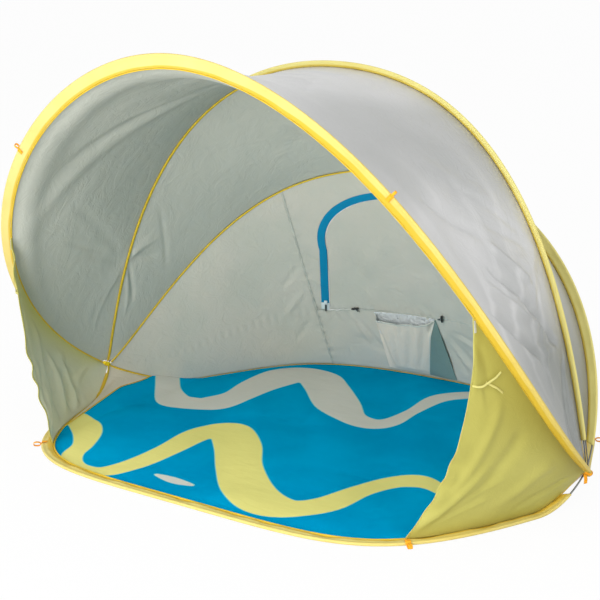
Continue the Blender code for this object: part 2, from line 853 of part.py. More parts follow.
sheet_object, sheet_front, sheet_back = groundsheet()
keep(sheet_object, "tent_base", floor_blue())


def side_shares(corner_step, side):
    """Stations from a crossing to a floor corner, on the right side or mirrored to the left."""
    picked = stations[first_panel_step:corner_step + 1]
    return picked if side > 0 else 1 - picked


def gusset(name, side):
    """Small side triangle from the groundsheet's edge up to the crossing."""
    fore = floor_front.seam(side_shares(floor_corner_step, side), past=seam_gap, fore=-layer_gap)
    fine = np.linspace(panel_start_share, stations[back_corner_step], len(fore))
    aft = floor_back.seam(fine if side > 0 else 1 - fine, past=seam_gap * 4)
    return sheet(name, between(fore, aft, 5))


def wing(name, side):
    """Doorway wing: sewn to the front arch and the floor hoop, free along its inner edge."""
    columns = wing_columns
    downs = 10
    high = front_arch.seam(side_shares(wing_top_step, side), past=seam_gap, fore=step_apart)
    low = floor_front.seam(side_shares(floor_corner_step, side), past=seam_gap,
                           fore=-(sleeve_seam_half + layer_gap * 3))
    high = spaced(high, columns)
    low = spaced(low, columns)
    out = np.array([float(side), 0.0, 0.0])
    reach = np.linspace(0, 1, columns)[:, None]
    rows = []
    for k in range(downs + 1):
        v = k / downs
        line = high * (1 - v) + low * v
        arc = 4 * v * (1 - v)
        steps = np.linalg.norm(np.diff(line, axis=0), axis=1)
        run = np.concatenate([[0.0], np.cumsum(steps)])
        places = reach[:, 0] * (1 - wing_edge_hollow_share * arc) * run[-1]
        line = np.column_stack([np.interp(places, run, line[:, c]) for c in range(3)])
        fold = wing_fold_depth * arc * np.sin(reach * 5 * pi) * reach
        rows.append(line + out * (wing_belly * arc * reach + fold))
    return sheet(name, rows)


for side_name, side in (("right", 1), ("left", -1)):
    keep(gusset("side_gusset_" + side_name, side), "tent_base", roof_silver())
    keep(wing("doorway_wing_" + side_name, side), "front_arch_hoop", wing_yellow())


# Webbing: crossing ties, peg loops and guy loops, wing ribbons
def crossing_tie(name, side):
    """Webbing wound round the crossing: the hoops' wires turn about it."""
    bm = bmesh.new()
    bmesh.ops.create_cone(bm, cap_ends=True, segments=16, radius1=tie_radius, radius2=tie_radius,
                          depth=tie_length)
    ends = [e for e in bm.edges if abs(e.verts[0].co.z - e.verts[1].co.z) < 1e-6]
    bmesh.ops.bevel(bm, geom=ends, offset=tie_radius / 5, affect="EDGES", segments=2, profile=0.5)
    bmesh.ops.rotate(bm, verts=bm.verts, matrix=Matrix.Rotation(pi / 2, 3, "Y"))
    bmesh.ops.translate(bm, verts=bm.verts, vec=(side * tent_width / 2, 0, 0))
    return keep(mesh_object(name, bm), "tent_base", webbing_orange())


def webbing_loop(name, hoop, share, carrier, width, eye_length, eye_height):
    """Folded webbing loop that stands out from a sleeve's round edge, with an eye for a peg or guy."""
    corners = hoop.at(stations)
    place = np.array([np.interp(share, stations, corners[:, k]) for k in range(3)])
    across = hoop.inward(share)[0]
    up = hoop.fore(share)[0]
    nose = bore_radius + sleeve_wall
    length = eye_length + 2 * loop_webbing
    height = eye_height + 2 * loop_webbing
    bm = bmesh.new()
    rims = []
    for grow in (0.0, loop_webbing):
        half_l = eye_length / 2 + grow
        half_h = eye_height / 2 + grow
        corner = loop_corner + grow
        ring = []
        for turn, (cx, cy) in enumerate([(1, 1), (-1, 1), (-1, -1), (1, -1)]):
            for step in range(3):
                angle = pi / 2 * turn + pi / 4 * step
                ring.append((cx * (half_l - corner) + corner * cos(angle),
                             cy * (half_h - corner) + corner * sin(angle)))
        rims.append(ring)
    layers = []
    for b in (-width / 2, width / 2):
        layers.append([[bm.verts.new((a, u, b)) for a, u in ring] for ring in rims])
    count = len(rims[0])
    for k in range(count):
        j = (k + 1) % count
        bm.faces.new((layers[0][0][k], layers[0][0][j], layers[1][0][j], layers[1][0][k]))
        bm.faces.new((layers[0][1][k], layers[0][1][j], layers[1][1][j], layers[1][1][k]))
        for layer in layers:
            bm.faces.new((layer[0][k], layer[0][j], layer[1][j], layer[1][k]))
    centre = place - across * (nose + length / 2 + clearance)
    if hoop in (floor_front, floor_back):
        ground = -fold_line_height + height / 2 + clearance
        centre[2] = ground
        across = unit(across * np.array([1.0, 1.0, 0.0]))
        up = np.array([0.0, 0.0, 1.0])
    turned = Matrix((Vector(-across), Vector(up), Vector(np.cross(-across, up)))).transposed().to_4x4()
    bmesh.ops.transform(bm, matrix=Matrix.Translation(Vector(centre)) @ turned, verts=bm.verts)
    keep(mesh_object(name, bm), carrier, webbing_orange())
    return centre, -across


def wing_ribbon(name, side):
    """Ribbon sewn to the wing's free edge, to tie the rolled wing back."""
    wing_mesh = bpy.data.objects["doorway_wing_" + ("right" if side > 0 else "left")].data

    def wing_point(row, column):
        return np.array(wing_mesh.vertices[row * wing_columns + column].co)

    edge = wing_columns - 1
    anchor = wing_point(2, edge) * 0.4 + wing_point(3, edge) * 0.5 + wing_point(3, edge - 1) * 0.1
    beside = (wing_point(1, edge - 2) + wing_point(2, edge - 2)) / 2
    below = wing_point(4, edge)
    back = unit(beside - anchor)
    down = square_to(below - anchor, back)
    out = unit(np.cross(back, down))
    out *= np.sign(out[0] * side)
    rows = []
    for k in range(7):
        v = k / 6
        line = anchor + back * ribbon_length * v - down * ribbon_length * 0.5 * v ** 2
        line = line + out * (cloth / 2 + ribbon_thickness / 2 + clearance * 2 + ribbon_width * min(1, v * 3))
        rows.append(np.array([line, line + down * ribbon_width]))
    return keep(sheet(name, rows, ribbon_thickness), "front_arch_hoop", sleeve_yellow())


loop_frames = {}
for side_name, side in (("right", 1), ("left", -1)):
    crossing_tie("crossing_tie_" + side_name, side)
    front_peg = stations[floor_corner_step]
    back_peg = stations[back_peg_step]
    peg_eye = (peg_loop_width, peg_eye_length, peg_eye_height)
    guy_eye = (guy_loop_width, guy_eye_length, guy_eye_height)
    for kind, hoop, share, carrier, eye in (
            ("front_peg_loop_", floor_front, front_peg, "floor_front_hoop", peg_eye),
            ("back_peg_loop_", floor_back, back_peg, "tent_base", peg_eye),
            ("guy_loop_", front_arch, guy_loop_share, "front_arch_hoop", guy_eye)):
        place = share if side > 0 else 1 - share
        loop_frames[kind + side_name] = webbing_loop(kind + side_name, hoop, place, carrier, *eye)
    wing_ribbon("wing_ribbon_" + side_name, side)


# Set the origin under the middle of the tent, on the ground
bpy.context.view_layer.update()
low = np.full(3, np.inf)
high = -low
depsgraph = bpy.context.evaluated_depsgraph_get()
for obj in bpy.data.objects:
    if obj.type not in {"MESH", "CURVE"} or obj.hide_render:
        continue
    shape = obj.evaluated_get(depsgraph).to_mesh()
    places = np.array([obj.matrix_world @ v.co for v in shape.vertices])
    low = np.minimum(low, places.min(0))
    high = np.maximum(high, places.max(0))
shift = Vector((0.0, -(low[1] + high[1]) / 2, -low[2]))
for obj in bpy.data.objects:
    if obj.parent is None:
        obj.location += shift
bpy.context.view_layer.update()

print("size", [round(float(v), 4) for v in high - low], "fold line", [round(v, 5) for v in shift])
print("flap hinge", [round(float(v), 5) for v in np.array(shift) + flap_hinge])
print("slider", [round(float(v), 5) for v in np.array(shift) + slider_place],
      [round(float(v), 5) for v in slider_way])
for place in toggle_places:
    print("toggle", [round(float(v), 5) for v in np.array(shift) + place])
for name, (centre, out) in loop_frames.items():
    print(name, [round(float(v), 4) for v in np.array(shift) + centre], [round(float(v), 3) for v in out])
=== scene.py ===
"""Looks of the pop-up beach tent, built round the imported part.

Every hoop, seam and panel is laid out from the same few lines as the part's source, more finely and
with the folds of real cloth. Metres, in the part's own frame: +Z up, the doorway faces -Y.
"""

from math import cos, pi, radians, sin

import bmesh
import bpy
import numpy as np
from mathutils import Matrix, Vector


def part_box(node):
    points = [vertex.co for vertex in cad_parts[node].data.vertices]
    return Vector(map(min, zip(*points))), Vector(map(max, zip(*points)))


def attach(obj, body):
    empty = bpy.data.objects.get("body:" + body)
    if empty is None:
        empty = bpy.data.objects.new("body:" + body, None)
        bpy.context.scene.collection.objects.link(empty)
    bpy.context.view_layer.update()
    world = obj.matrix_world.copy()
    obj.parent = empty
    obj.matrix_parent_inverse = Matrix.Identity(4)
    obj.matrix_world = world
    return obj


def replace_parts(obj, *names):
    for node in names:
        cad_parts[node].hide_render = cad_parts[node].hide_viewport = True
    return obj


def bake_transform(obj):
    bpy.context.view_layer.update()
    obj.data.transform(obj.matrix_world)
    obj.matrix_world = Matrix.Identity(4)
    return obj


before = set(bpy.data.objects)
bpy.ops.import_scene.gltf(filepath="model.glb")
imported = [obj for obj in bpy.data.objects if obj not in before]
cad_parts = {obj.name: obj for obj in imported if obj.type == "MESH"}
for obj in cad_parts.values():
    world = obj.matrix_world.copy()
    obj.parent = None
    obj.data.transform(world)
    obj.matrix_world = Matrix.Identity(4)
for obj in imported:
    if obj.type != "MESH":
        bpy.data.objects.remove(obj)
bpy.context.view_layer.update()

# The tent's lines, as in the part's source
fold_line = np.array([0.0, -0.0577, 0.0788])
tent_width = 1.500
floor_wire_height = 0.0058
hoop_spread = 0.0062
hoop_wire_radius = 0.0020
middle_wire_radius = 0.0014
middle_wire_pitch = 0.0052
tie_radius = 0.0065
sleeve_seam_half = 0.0009
sleeve_taper_run = 0.040
seam_gap = 0.0005
layer_gap = 0.0012
clearance = 0.0004
cloth = 0.0005
window_middle_x = 0.010
window_half_width = 0.303
window_rise = 0.184
window_squareness = 2.3
window_leg = 0.212
window_foot_flare = 0.045
wall_seam_share = 0.675
even_share_step = 0.44 / 15
wing_top_share = 0.06 + 5 * even_share_step
floor_corner_share = 0.06 + 6 * even_share_step
back_corner_share = 0.06
window_seam_share = 0.06 + 9 * even_share_step
guy_share = 0.3053
back_peg_share = 0.06 + 5 * even_share_step


# Small sums on rows of points
def unit(v):
    return v / np.maximum(np.linalg.norm(v, axis=-1, keepdims=True), 1e-12)


def square_to(v, axis):
    return unit(v - (v * axis).sum(-1, keepdims=True) * axis)


def path_length(line):
    return np.concatenate([[0.0], np.cumsum(np.linalg.norm(np.diff(line, axis=0), axis=1))])


def rows_at(x, table, rows):
    """Rows of three numbers at each x, read off between those that the table gives."""
    return np.column_stack([np.interp(x, table, rows[:, k]) for k in range(3)])


def smooth(x, low, high):
    t = np.clip((x - low) / (high - low), 0, 1)
    return t * t * (3 - 2 * t)


def within(x, near, far):
    """Nothing at 0 and at 1, and one from near to far."""
    return smooth(x, 0, near) * (1 - smooth(x, far, 1))


def bump(x, middle, width):
    return np.exp(-((x - middle) / width) ** 2)


def signed_power(x, power):
    return np.sign(x) * np.abs(x) ** power


class Hoop:
    """Half a hoop's wire from the right crossing over its crown to the left, with its sleeve's seam."""

    def __init__(self, reach, leave, round_shares, spread, outset, width, profile, on_floor=False):
        self.width = width
        self.on_floor = on_floor
        self.leave = leave
        start = np.array([tent_width / 2 + spread, 0.0])
        heel = start + round_shares[0] * reach * np.array([cos(leave), sin(leave)])
        shoulder = np.array([round_shares[1] * tent_width / 2, reach])
        crown = np.array([0.0, reach])
        u = np.linspace(0, 1, 240)[:, None]
        side = (1 - u) ** 3 * start + 3 * u * (1 - u) ** 2 * heel
        side += 3 * u ** 2 * (1 - u) * shoulder + u ** 3 * crown
        flat = np.concatenate([side, side[-2::-1] * np.array([-1.0, 1.0])])
        way = unit(np.gradient(flat, axis=0))
        out = np.column_stack([way[:, 1], -way[:, 0]])
        run = path_length(flat)
        opened = np.minimum(run, run[-1] - run)
        flat = flat + out * (outset * opened / (opened + sleeve_taper_run))[:, None]
        y, z = profile(flat[:, 1])
        y_on, z_on = profile(flat[:, 1] + outset / 10)
        rise = unit(np.column_stack([y_on - y, z_on - z]))
        self.points = np.column_stack([flat[:, 0], y, z])
        self.inner = -np.column_stack([out[:, 0], out[:, 1] * rise[:, 0], out[:, 1] * rise[:, 1]])
        self.front = np.column_stack([np.zeros(len(y)), -rise[:, 1], rise[:, 0]])
        run = path_length(self.points)
        self.length = run[-1]
        self.shares = run / run[-1]

    def at(self, share):
        return rows_at(np.atleast_1d(share), self.shares, self.points)

    def inward(self, share):
        return unit(rows_at(np.atleast_1d(share), self.shares, self.inner))

    def fore(self, share):
        return unit(rows_at(np.atleast_1d(share), self.shares, self.front))

    def opened(self, share):
        """How far the sleeve has opened out, from nothing at a crossing towards one."""
        run = np.minimum(share, 1 - share) * self.length
        return run / (run + sleeve_taper_run)

    def seam(self, share, past=0.0, fore=0.0):
        share = np.atleast_1d(share)
        opened = self.opened(share)[:, None]
        line = self.at(share) + self.inward(share) * (self.width * opened + past)
        line += self.fore(share) * fore
        if self.on_floor:
            line[:, 2] -= (floor_wire_height - sleeve_seam_half - clearance) * opened[:, 0]
        return line


def bent_profile(heel, crown):
    u = np.linspace(0, 1.2, 241)[:, None]
    line = 2 * u * (1 - u) * np.array(heel) + u ** 2 * np.array(crown)
    run = path_length(line)
    reach = np.interp(1.0, u[:, 0], run)
    return reach, lambda out: (np.interp(out, run, line[:, 0]), np.interp(out, run, line[:, 1]))


def floor_profile(way, landing):
    drop = fold_line[2] - floor_wire_height
    return lambda out: (way * out, drop * np.maximum(0, 1 - out / landing) ** 2 - drop)


def arch(heel, crown, leave, round_shares, spread, outset, width):
    reach, profile = bent_profile(heel, crown)
    return Hoop(reach, radians(leave), round_shares, spread, outset, width, profile)


front_arch = arch((-0.512 * cos(radians(28.2)), 0.512 * sin(radians(28.2))), (-0.570, 0.9412),
                  77, (0.546, 0.568), hoop_spread, 0.0125, 0.0305)
middle_crown = np.array([0.058, 0.8872])
middle_heel = middle_crown / 2 + unit(np.array([-middle_crown[1], middle_crown[0]])) * 0.028
middle_arch = arch(tuple(middle_heel), tuple(middle_crown), 98.7, (0.607, 0.594), 0.0, 0.0020, 0.0120)
rear_arch = arch((0.293 * cos(radians(43.5)), 0.293 * sin(radians(43.5))), (0.363, 0.5932),
                 99.1, (0.523, 0.627), -hoop_spread, 0.0080, 0.0240)
floor_front = Hoop(0.560, radians(105.8), (1.10, 0.619), -hoop_spread, 0.0080, 0.0300,
                   floor_profile(-1, 0.150), True)
floor_back = Hoop(0.680, radians(121.2), (0.763, 0.82), hoop_spread, 0.0080, 0.0300,
                  floor_profile(1, 0.265), True)
inside_point = np.array([0.0, 0.0, 0.2957])


# Laying cloth on a surface
def laid(name, across, down, surface, paints, closed=False, outward=None, marks=None):
    """A grid of quads laid on surface(u, v), with a UV map in metres along the cloth."""
    bm = bmesh.new()
    bmesh.ops.create_grid(bm, x_segments=across, y_segments=down, size=0.5)
    bm.verts.ensure_lookup_table()
    flat = np.array([v.co[:2] for v in bm.verts]) + 0.5
    places = surface(flat[:, 0], flat[:, 1])
    line = np.linspace(0, 1, 60)
    half = np.full(60, 0.5)
    size = (path_length(surface(line, half))[-1], path_length(surface(half, line))[-1])
    uv = bm.loops.layers.uv.new("UVMap")
    for face in bm.faces:
        face.smooth = True
        for loop in face.loops:
            k = loop.vert.index
            loop[uv].uv = (flat[k, 0] * size[0], flat[k, 1] * size[1])
    for vert, place in zip(bm.verts, places + fold_line):
        vert.co = place
    for title, values in (marks or {}).items():
        layer = bm.verts.layers.float.new(title)
        for vert, value in zip(bm.verts, values(flat[:, 0], flat[:, 1], places)):
            vert[layer] = float(value)
    if closed:
        bmesh.ops.remove_doubles(bm, verts=bm.verts, dist=1e-6)
        bmesh.ops.recalc_face_normals(bm, faces=bm.faces)
    bm.normal_update()
    if outward is not None:
        away = sum(f.normal.dot(f.calc_center_median() - Vector(outward + fold_line)) * f.calc_area()
                   for f in bm.faces)
        if away < 0:
            bmesh.ops.reverse_faces(bm, faces=bm.faces)
    return finished(name, bm, paints)


def finished(name, bm, paints):
    mesh = bpy.data.meshes.new(name)
    bm.to_mesh(mesh)
    bm.free()
    obj = bpy.data.objects.new(name, mesh)
    bpy.context.collection.objects.link(obj)
    for paint in paints if isinstance(paints, (list, tuple)) else [paints]:
        mesh.materials.append(paint)
    return obj


def thicken(obj, thickness=cloth):
    """Gives a sheet its two faces: the second material, if any, is the inner face's."""
    shell = obj.modifiers.new("cloth", "SOLIDIFY")
    shell.thickness = thickness
    shell.offset = 0.0
    if len(obj.data.materials) > 1:
        shell.material_offset = 1


slope_step = 1e-3


def folded(base, relief):
    """The same surface pushed in and out by relief(u, v), outwards where it is above nothing."""
    def surface(u, v):
        along = base(np.minimum(u + slope_step, 1), v) - base(np.maximum(u - slope_step, 0), v)
        down = base(u, np.minimum(v + slope_step, 1)) - base(u, np.maximum(v - slope_step, 0))
        square = unit(np.cross(along, down))
        place = base(u, v)
        side = np.sign((square * (place - inside_point)).sum())
        return place + square * (side * relief(u, v))[:, None]
    return surface


class Creases:
    """Soft creases drawn on a cloth as strokes: from, to, width and height, in (u, v) by metres."""

    def __init__(self, size, strokes):
        self.size = np.array(size)
        self.strokes = strokes

    def __call__(self, u, v):
        place = np.column_stack([u, v]) * self.size
        total = np.zeros(len(u))
        for start, end, width, height in self.strokes:
            a = np.array(start) * self.size
            way = np.array(end) * self.size - a
            along = ((place - a) @ way) / (way @ way)
            off = np.linalg.norm(place - a - np.clip(along, 0, 1)[:, None] * way, axis=1)
            fade = smooth(along, -0.05, 0.25) * (1 - smooth(along, 0.7, 1.05))
            total += height * fade * np.exp(-(off / width) ** 2)
        return total


def fan(centre, towards, spread, reach, count, width, height, seed):
    """Strokes that radiate from one pinched point, as cloth gathers at a sewn corner."""
    pick = np.random.default_rng(seed)
    strokes = []
    for k in range(count):
        angle = towards + spread * ((k + 0.5) / count - 0.5) + pick.uniform(-0.06, 0.06)
        far = reach * pick.uniform(0.55, 1.0)
        near = reach * pick.uniform(0.02, 0.10)
        way = np.array([cos(angle), sin(angle)])
        strokes.append((np.array(centre) + way * near, np.array(centre) + way * far,
                        width * pick.uniform(0.7, 1.3),
                        height * pick.choice([-1, 1]) * pick.uniform(0.6, 1.1)))
    return strokes


# Materials: sums on shader sockets
class Signal:
    """A node's output, on which sums are written as on a number."""

    def __init__(self, tree, socket):
        self.tree = tree
        self.socket = socket

    def math(self, operation, other, swapped=False):
        pair = (other, self) if swapped else (self, other)
        return self.tree.add("ShaderNodeMath", {"operation": operation}, {0: pair[0], 1: pair[1]})

    def __add__(self, other):
        return self.math("ADD", other)

    def __radd__(self, other):
        return self.math("ADD", other, True)

    def __sub__(self, other):
        return self.math("SUBTRACT", other)

    def __rsub__(self, other):
        return self.math("SUBTRACT", other, True)

    def __mul__(self, other):
        return self.math("MULTIPLY", other)

    def __rmul__(self, other):
        return self.math("MULTIPLY", other, True)

    def __gt__(self, other):
        return self.math("GREATER_THAN", other)


class Nodes:
    """The nodes of a material or of the world, and the links between them."""

    def __init__(self, tree):
        self.nodes = tree.nodes
        self.links = tree.links

    def feed(self, node, values):
        for key, value in values.items():
            socket = node.inputs[key]
            if isinstance(value, Signal):
                self.links.new(value.socket, socket)
            else:
                socket.default_value = value

    def add(self, kind, settings=None, values=None, output=0):
        """A node of a kind: its settings first, then the values or links of its sockets."""
        node = self.nodes.new(kind)
        for key, value in (settings or {}).items():
            setattr(node, key, value)
        self.feed(node, values or {})
        return Signal(self, node.outputs[output])


class Finish(Nodes):
    """A material with one Principled shader, and the nodes that feed it."""

    def __init__(self, name, **sockets):
        self.material = bpy.data.materials.new(name)
        self.material.use_nodes = True
        super().__init__(self.material.node_tree)
        self.shader = self.nodes["Principled BSDF"]
        self.feed(self.shader, {k.replace("_", " "): v for k, v in sockets.items()})

    def place(self):
        return self.add("ShaderNodeTexCoord", output="Object")

    def cloth_place(self):
        return self.add("ShaderNodeUVMap", {"uv_map": "UVMap"})

    def stretched(self, place, scale, turn=0.0):
        return self.add("ShaderNodeMapping", values={"Vector": place, "Scale": scale,
                                                     "Rotation": (0.0, 0.0, turn)})

    def noise(self, place, scale, detail=2.0, roughness=0.5, distortion=0.0):
        return self.add("ShaderNodeTexNoise", values={"Vector": place, "Scale": scale, "Detail": detail,
                                                      "Roughness": roughness, "Distortion": distortion})

    def parts(self, place):
        node = self.nodes.new("ShaderNodeSeparateXYZ")
        self.feed(node, {"Vector": place})
        return [Signal(self, out) for out in node.outputs]

    def mark(self, title):
        return self.add("ShaderNodeAttribute", {"attribute_name": title}, output="Fac")

    def step(self, value, low, high):
        return self.add("ShaderNodeMapRange", {"interpolation_type": "SMOOTHSTEP"},
                        {"Value": value, "From Min": low, "From Max": high})

    def mixed(self, share, first, second):
        node = self.nodes.new("ShaderNodeMix")
        node.data_type = "RGBA"
        colours = [k for k, socket in enumerate(node.inputs) if socket.type == "RGBA"]
        self.feed(node, {"Factor": share, colours[0]: first, colours[1]: second})
        return Signal(self, [s for s in node.outputs if s.type == "RGBA"][0])

    def weave(self, pitch):
        """Crossing threads along the cloth, as a height from 0 to 1."""
        x, y, z = self.parts(self.cloth_place())
        warp = (x * (2 * pi / pitch)).math("SINE", 0.0)
        weft = (y * (2 * pi / pitch)).math("SINE", 0.0)
        return warp * weft * 0.5 + 0.5

    def raise_by(self, *reliefs):
        """Bump from pairs of a height and its depth in metres, the coarsest first."""
        normal = None
        for height, depth in reliefs:
            values = {"Height": height, "Distance": depth, "Strength": 1.0}
            if normal is not None:
                values["Normal"] = normal
            normal = self.add("ShaderNodeBump", values=values)
        self.feed(self.shader, {"Normal": normal})


def shade(red, green, blue):
    """A colour as it looks on a screen, from 0 to 255, as the numbers a shader takes."""
    def linear(c):
        c = c / 255
        return c / 12.92 if c <= 0.04045 else ((c + 0.055) / 1.055) ** 2.4
    return (linear(red), linear(green), linear(blue), 1.0)


def tent_cloth(name, light, dark, roughness, wrinkle=0.0012, metallic=0.0, coat=0.0, run=(1, 1, 1),
               gloss=0.22, painted_shade_colour=None):
    """Thin woven polyester with its own soft wrinkles: light and dark are the cloth's two tones.

    Where painted_shade_colour is given, the mark "tone" blends it towards that darker colour: painted sheen
    and shade over the cloth."""
    finish = Finish(name, Metallic=metallic, Coat_Weight=coat, Coat_Roughness=0.35, Specular_IOR_Level=gloss)
    place = finish.stretched(finish.place(), run)
    soft = finish.noise(place, 5.0, 3.0, 0.55, 0.4)
    creased = finish.noise(place, 22.0, 4.0, 0.6, 0.8)
    ridge = 1.0 - (creased - 0.5).math("ABSOLUTE", 0.0) * 6.0
    ridge = ridge.math("MAXIMUM", 0.0)
    tone = finish.step(soft, 0.3, 0.7) * 0.75 + finish.noise(finish.place(), 60.0, 2.0) * 0.25
    colour = finish.mixed(tone, dark, light)
    # Painted sheen and shade: the mark "tone" darkens the cloth where less light should fall on it.
    if painted_shade_colour:
        colour = finish.mixed(finish.mark("tone"), painted_shade_colour, colour)
    finish.feed(finish.shader, {"Base Color": colour, "Roughness": soft * 0.2 + (roughness - 0.1)})
    finish.raise_by((soft, wrinkle * 6), (ridge * creased, wrinkle), (finish.weave(0.0012), 0.00003))
    return finish.material


def sleeve_cloth(name, pale, hem_and_shade, shade_at, hem_and_shade_reach):
    """Sleeve cloth, with the hem's two rows of stitches beside the seam.

    shade_at gives where along X it turns from the pale to the deep yellow of painted shade, and
    hem_and_shade_reach how far the deep yellow, partly the hem's own colour and partly painted shade, reaches
    over the sleeve from its seam."""
    finish = Finish(name, Specular_IOR_Level=0.3)
    across, along, flat = finish.parts(finish.cloth_place())
    place = finish.place()
    x, y, z = finish.parts(place)
    soft = finish.noise(place, 9.0, 3.0)
    pucker = finish.noise(finish.stretched(finish.cloth_place(), (14.0, 70.0, 1.0)), 1.0, 2.0)
    seam = finish.mark("from_seam")
    thin = finish.step(soft, 0.25, 0.75) * 0.22
    # Painted shade: the sleeve turns deeper yellow along X, as given by shade_at.
    side = finish.step(x, shade_at[0], shade_at[1])
    # Deep yellow beside the seam: partly the hem's own colour, partly painted shade on the sleeve's inner
    # half.
    near = finish.step(seam - side * 0.011, hem_and_shade_reach, hem_and_shade_reach * 0.7) * 0.75
    share = ((side * 0.30 + near).math("MINIMUM", 0.95) + thin).math("MINIMUM", 1.0)
    colour = finish.mixed(share, pale, hem_and_shade)
    thread = (along * (2 * pi / 0.0032)).math("SINE", 0.0) > -0.3
    row = finish.step((seam - 0.0035).math("ABSOLUTE", 0.0), 0.0007, 0.0003)
    edge = finish.step(seam, 0.0020, 0.0006)
    colour = finish.mixed(row * thread * 0.6, colour, shade(214, 178, 50))
    colour = finish.mixed(edge * 0.7, colour, shade(176, 150, 44))
    finish.feed(finish.shader, {"Base Color": colour, "Roughness": soft * 0.15 + 0.5})
    finish.raise_by((soft, 0.004), (pucker * finish.step(seam, 0.016, 0.0), 0.0022), (row * thread, 0.0003),
                    (finish.weave(0.0012), 0.00003))
    return finish.material


def plain_cloth(name, light, dark, roughness, weave_pitch=0.0012, depth=0.00006):
    finish = Finish(name, Specular_IOR_Level=0.2)
    soft = finish.noise(finish.place(), 40.0, 3.0)
    finish.feed(finish.shader, {"Base Color": finish.mixed(soft, dark, light), "Roughness": roughness})
    finish.raise_by((soft, 0.0006), (finish.weave(weave_pitch), depth))
    return finish.material


def floor_print():
    """Blue groundsheet with wide yellow and grey waves, each with a thin pale edge line."""
    finish = Finish("printed_groundsheet", Specular_IOR_Level=0.0)
    soft = finish.noise(finish.place(), 3.5, 3.0, 0.5, 0.3)
    fine = finish.noise(finish.stretched(finish.place(), (0.6, 1.6, 1.0)), 26.0, 3.0, 0.5, 0.6)
    blue = finish.mixed(finish.step(soft, 0.3, 0.7), shade(0, 150, 202), shade(0, 164, 216))
    yellow = finish.mark("yellow_wave")
    grey = finish.mark("grey_wave")
    edge = finish.step(yellow.math("MINIMUM", grey), 0.0030, 0.0018)
    colour = finish.mixed(edge * 0.75, blue, shade(150, 224, 200))
    colour = finish.mixed(finish.step(grey, 0.0006, -0.0006), colour, shade(214, 214, 206))
    colour = finish.mixed(finish.step(yellow, 0.0006, -0.0006), colour, shade(236, 229, 138))
    finish.feed(finish.shader, {"Base Color": colour, "Roughness": soft * 0.15 + 0.42})
    finish.raise_by((soft, 0.010), (fine, 0.0010), (finish.weave(0.0014), 0.00004))
    return finish.material


def steel():
    finish = Finish("spring_steel_wire", Metallic=1.0)
    drawn = finish.noise(finish.stretched(finish.place(), (40, 40, 40)), 12.0, 2.0)
    finish.feed(finish.shader, {"Base Color": finish.mixed(drawn, shade(104, 106, 106), shade(132, 134, 132)),
                                "Roughness": drawn * 0.2 + 0.25})
    finish.raise_by((drawn, 0.00008))
    return finish.material


def black_plastic():
    finish = Finish("black_moulded_plastic")
    grain = finish.noise(finish.place(), 900.0, 2.0)
    finish.feed(finish.shader, {"Base Color": finish.mixed(grain, shade(24, 25, 25), shade(38, 39, 38)),
                                "Roughness": grain * 0.15 + 0.35})
    finish.raise_by((grain, 0.00004))
    return finish.material


def silver_lining():
    finish = Finish("crinkled_silver_lining", Metallic=0.2)
    cells = finish.add("ShaderNodeTexVoronoi", {"feature": "F1"}, {"Vector": finish.place(), "Scale": 90.0},
                       output="Distance")
    soft = finish.noise(finish.place(), 60.0, 3.0)
    finish.feed(finish.shader, {"Base Color": finish.mixed(soft, shade(205, 212, 214), shade(236, 240, 240)),
                                "Roughness": soft * 0.2 + 0.2})
    finish.raise_by((cells, 0.003), (soft, 0.001))
    return finish.material


# The third colour of the silver cloth and of each wing face is painted shade, blended in by the "tone" mark.
roof_faces = [
    tent_cloth("silver_coated_cloth", shade(214, 214, 214), shade(203, 204, 203), 0.42, metallic=0.25,
               coat=0.25, run=(1, 1, 0.45), gloss=0.4, painted_shade_colour=shade(138, 142, 139)),
    tent_cloth("grey_green_cloth", shade(189, 191, 180), shade(179, 182, 171), 0.62, run=(0.7, 1, 0.6))]
wall_faces = [roof_faces[0], tent_cloth("pale_grey_cloth", shade(198, 195, 183), shade(187, 189, 177), 0.6)]
wing_faces = [tent_cloth("wing_yellow_cloth", shade(187, 181, 98), shade(176, 171, 88), 0.55, 0.0005,
                         painted_shade_colour=shade(152, 143, 60)),
              tent_cloth("wing_back_cloth", shade(220, 218, 188), shade(208, 209, 181), 0.6, 0.0005,
                         painted_shade_colour=shade(205, 199, 120))]
gusset_paint = tent_cloth("gusset_cloth", shade(222, 214, 196), shade(212, 204, 188), 0.6, 0.0010)
# The pocket's side gusset is coloured dark teal: painted shade in the recess beside the pocket.
pocket_side_shade_paint = tent_cloth("pocket_side_shaded_cloth", shade(128, 152, 146), shade(112, 138, 133), 0.65, 0.0010)
# The deep yellow is partly the hem's own colour and partly painted shade.
pale_yellow, hem_and_shade_yellow = shade(219, 202, 124), shade(204, 172, 46)
front_sleeve_paint = sleeve_cloth("front_sleeve_yellow_cloth", pale_yellow, hem_and_shade_yellow, (0.0, 0.62), 0.008)
arch_sleeve_paint = sleeve_cloth("arch_sleeve_yellow_cloth", shade(236, 226, 142), shade(222, 196, 80),
                                 (0.9, 2.0), 0.007)
floor_sleeve_paint = sleeve_cloth("floor_sleeve_yellow_cloth", shade(220, 204, 122), shade(224, 186, 56),
                                  (0.9, 2.0), 0.019)
binding_paint = plain_cloth("seam_binding", shade(232, 200, 62), shade(206, 174, 44), 0.6)
seam_paint = plain_cloth("grey_seam", shade(190, 193, 183), shade(176, 180, 170), 0.6)
tape_paint = plain_cloth("blue_zip_tape", shade(0, 134, 176), shade(0, 124, 166), 0.55, 0.0016, 0.00012)
tape_end_paint = plain_cloth("pale_tape_end", shade(216, 226, 226), shade(202, 214, 214), 0.5)
hem_paint = plain_cloth("wing_hem", shade(200, 193, 108), shade(182, 175, 92), 0.55)
